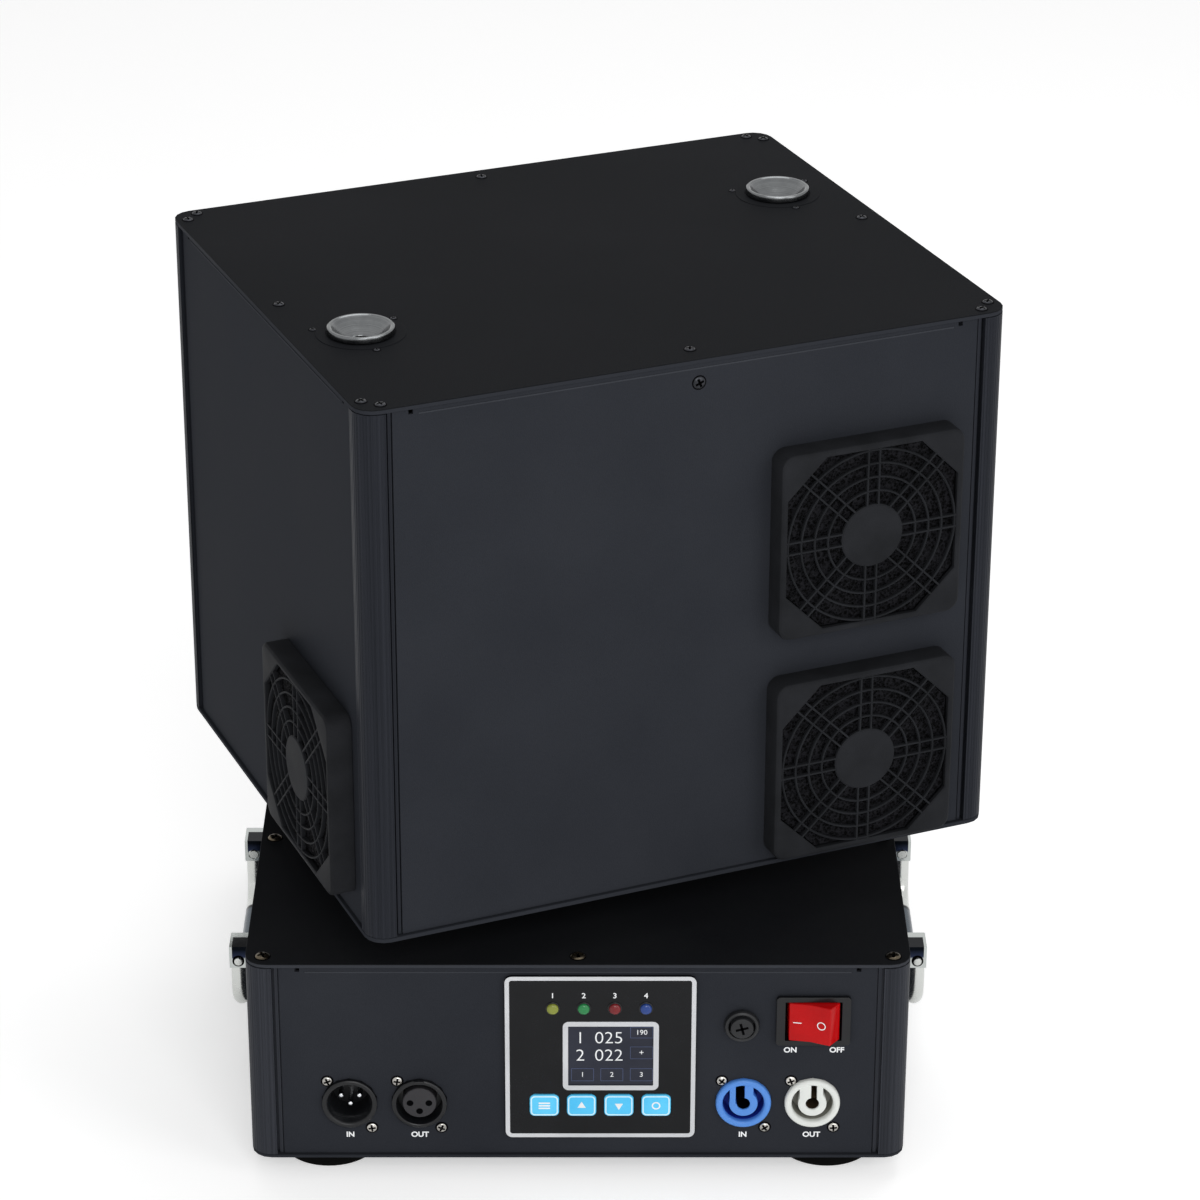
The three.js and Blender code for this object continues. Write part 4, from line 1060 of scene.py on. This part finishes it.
# Fuse holder with a cross slot and two flats, both drawn as painted shade, and the rocker switch
fuseSpot = onPanel(70.7, 67.3)
fuseBody = [(0, -22), (7, -22), (7, 0.3), (7.4, 0.4), (7.7, 0.8), (7.6, 1.8), (7.2, 2.6), (6.4, 3)]
fuseBody += [(5.9, 2.8), (5.7, 2), (5, 1.8), (5, 3.6), (4.8, 4), (4.3, 4.2), (0, 4.3)]
fuse = Piece().add(turned(fuseBody, 56))
fuse.settle("fuse_cap", fuseGrey, "base", fuseSpot, ["fuse_holder"])
# painted shade: a dark cross for the slot and dark patches on the two flats
cross = Piece()
for turn in [0, 1]:
    arm = block(5.6, 1.1, 0.4)
    cross.add(arm, about("Z", turn * math.pi / 2 + 0.26) @ at(0, 0, 3.93))
for end in [-1, 1]:
    cross.add(block(0.8, 4, 0.3, 0.3), at(end * 5.3, 0, 1.9))
cross.settle("fuse_slot", paintedShade, "base", fuseSpot)

rocker = {"x": 101.5, "z": 69.9, "half": 11.6, "tilt": 16, "sink": 1.2, "length": 18.6}
rocker.update({"crest": 6.5, "valley": 5.4, "draft": 2.5, "back": 6, "waist": 3.5})
rockerMark = {"bar": 5.6, "ring": 5, "rise": 0.03}


def rockerShape():
    half, back, crest = rocker["half"], -rocker["back"], rocker["crest"]
    waist, peak = half - rocker["waist"], half - rocker["draft"]
    points = [(-half, 0), (-waist, back), (waist, back), (half, 0)]
    points += [(peak, crest), (0, rocker["valley"]), (-peak, crest)]
    shape = extruded(points, rocker["length"])
    crests = [e for e in shape.edges if all(v.co.y > 6 for v in e.verts)]
    level = [e for e in shape.edges if abs(e.verts[0].co.z - e.verts[1].co.z) < 0.1]
    front = [e for e in level if all(v.co.y > -0.1 for v in e.verts) and e not in crests]
    bevelled(shape, crests + front, 0.6, 3)
    return shape


lean = about("Y", -math.radians(rocker["tilt"]))
tilted = onPanel(rocker["x"], rocker["z"]) @ at(0, 0, -rocker["sink"]) @ lean
upright = about("X", math.pi / 2) @ at(0, 0, -rocker["length"] / 2)
paddle = Piece().add(rockerShape(), upright)
paddle.settle("red_rocker", rockerRed, "switch_rocker", tilted, ["switch_rocker"], 25)
slope = math.atan((rocker["crest"] - rocker["valley"]) / (rocker["half"] - rocker["draft"]))


def onRocker(x):  # on the sloping face, x from its middle
    height = rocker["valley"] + abs(x) * math.tan(slope) + rockerMark["rise"]
    return at(x, 0, height) @ about("Y", math.copysign(slope, -x))


marks = Piece().add(block(3.6, 0.38, 0.05), onRocker(-rockerMark["bar"]))
zero = [(1.55, 0), (1.95, 0), (1.95, 0.05), (1.55, 0.05)]
marks.add(turned(zero, 36, closed=True), onRocker(rockerMark["ring"]))
marks.settle("rocker_marks", whiteInk, "switch_rocker", tilted)

labels = [("ON", 91.9, 54.3), ("OFF", 112, 54.3)]
for name, place in connectors.items():
    labels.append(("IN" if "inlet" in name else "OUT", place[0], 11.2))
printing = Piece()
for words, x, z in labels:
    printing.add(letters(words, 3.6, 0.03), onPanel(x, z, 0.02))
printing.settle("panel_words", whiteInk, "base")
print("controls dressed")

# Pieces inside keep their CAD shape
inner = {"turn_spindle": machinedSteel, "turn_motor": mouldedBlack, "motor_pinion": brassPart}
inner["display_overlay"] = overlayGloss
inner.update({"feed_screw_" + side: machinedSteel for side in ["left", "right"]})
inner.update({"fan_rotor_" + name: mouldedBlack for name in guardPlaces})
for node, finish in inner.items():
    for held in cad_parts[node].material_slots:
        held.material = finish.material

# Stage, camera and lamps
stage = {"size": 12, "world": 0.35, "paper": "f2f2f2", "glow": 0.47}
lamps = {  # place in metres, width, height and power
    "key": ((0.3, -2.2, 1.4), 1.2, 1.2, 22),
    "fill": ((1.7, -1.3, 1.1), 0.9, 1.4, 9),
    "top": ((0.2, 0.5, 2.1), 1.2, 1.2, 11),
}
aim = Vector((0, 0, 0.2))
paper = Finish("stage_paper", stage["paper"], {"Roughness": 0.9, "Specular IOR Level": 0.1})
grainy = paper.grain(30)
paper.feed("Roughness", paper.spread(grainy, 0.3, 0.7, 0.85, 0.95))
paper.shader.inputs["Emission Color"].default_value = (1, 1, 1, 1)
paper.shader.inputs["Emission Strength"].default_value = stage["glow"]
sheetMesh = bpy.data.meshes.new("stage_floor")
sheet = bmesh.new()
bmesh.ops.create_grid(sheet, x_segments=1, y_segments=1, size=stage["size"])
sheet.to_mesh(sheetMesh)
sheet.free()
stageFloor = bpy.data.objects.new("stage_floor", sheetMesh)
stageFloor.data.materials.append(paper.material)
bpy.context.scene.collection.objects.link(stageFloor)

world = bpy.data.worlds.new("studio")
bpy.context.scene.world = world
world.use_nodes = True
sky = world.node_tree
light = sky.nodes["Background"]
light.inputs["Color"].default_value = (1, 1, 1, 1)
rays = sky.nodes.new("ShaderNodeLightPath")
white = rays.outputs["Is Camera Ray"]
for ray in ["Is Glossy Ray", "Is Transmission Ray"]:
    either = sky.nodes.new("ShaderNodeMath")
    either.operation = "MAXIMUM"
    sky.links.new(white, either.inputs[0])
    sky.links.new(rays.outputs[ray], either.inputs[1])
    white = either.outputs[0]
strength = sky.nodes.new("ShaderNodeMapRange")
strength.inputs["To Min"].default_value = stage["world"]
sky.links.new(white, strength.inputs["Value"])
sky.links.new(strength.outputs[0], light.inputs["Strength"])

for name, (place, width, height, power) in lamps.items():
    lamp = bpy.data.lights.new(name, "AREA")
    lamp.shape = "RECTANGLE"
    lamp.size = width
    lamp.size_y = height
    lamp.energy = power
    carrier = bpy.data.objects.new(name, lamp)
    carrier.location = place
    carrier.rotation_euler = (aim - Vector(place)).to_track_quat("-Z", "Y").to_euler()
    bpy.context.scene.collection.objects.link(carrier)

view = {"lens": 125, "shift": 0.0184, "place": (0, -1.6841, 1.0199), "tilt": 64.44}
camera = bpy.data.cameras.new("view")
camera.lens = view["lens"]
camera.shift_x = view["shift"]
eye = bpy.data.objects.new("view", camera)
eye.location = view["place"]
eye.rotation_euler = (math.radians(view["tilt"]), 0, 0)
bpy.context.scene.collection.objects.link(eye)
bpy.context.scene.camera = eye
bpy.context.scene.view_settings.view_transform = "Standard"
print("stage set")
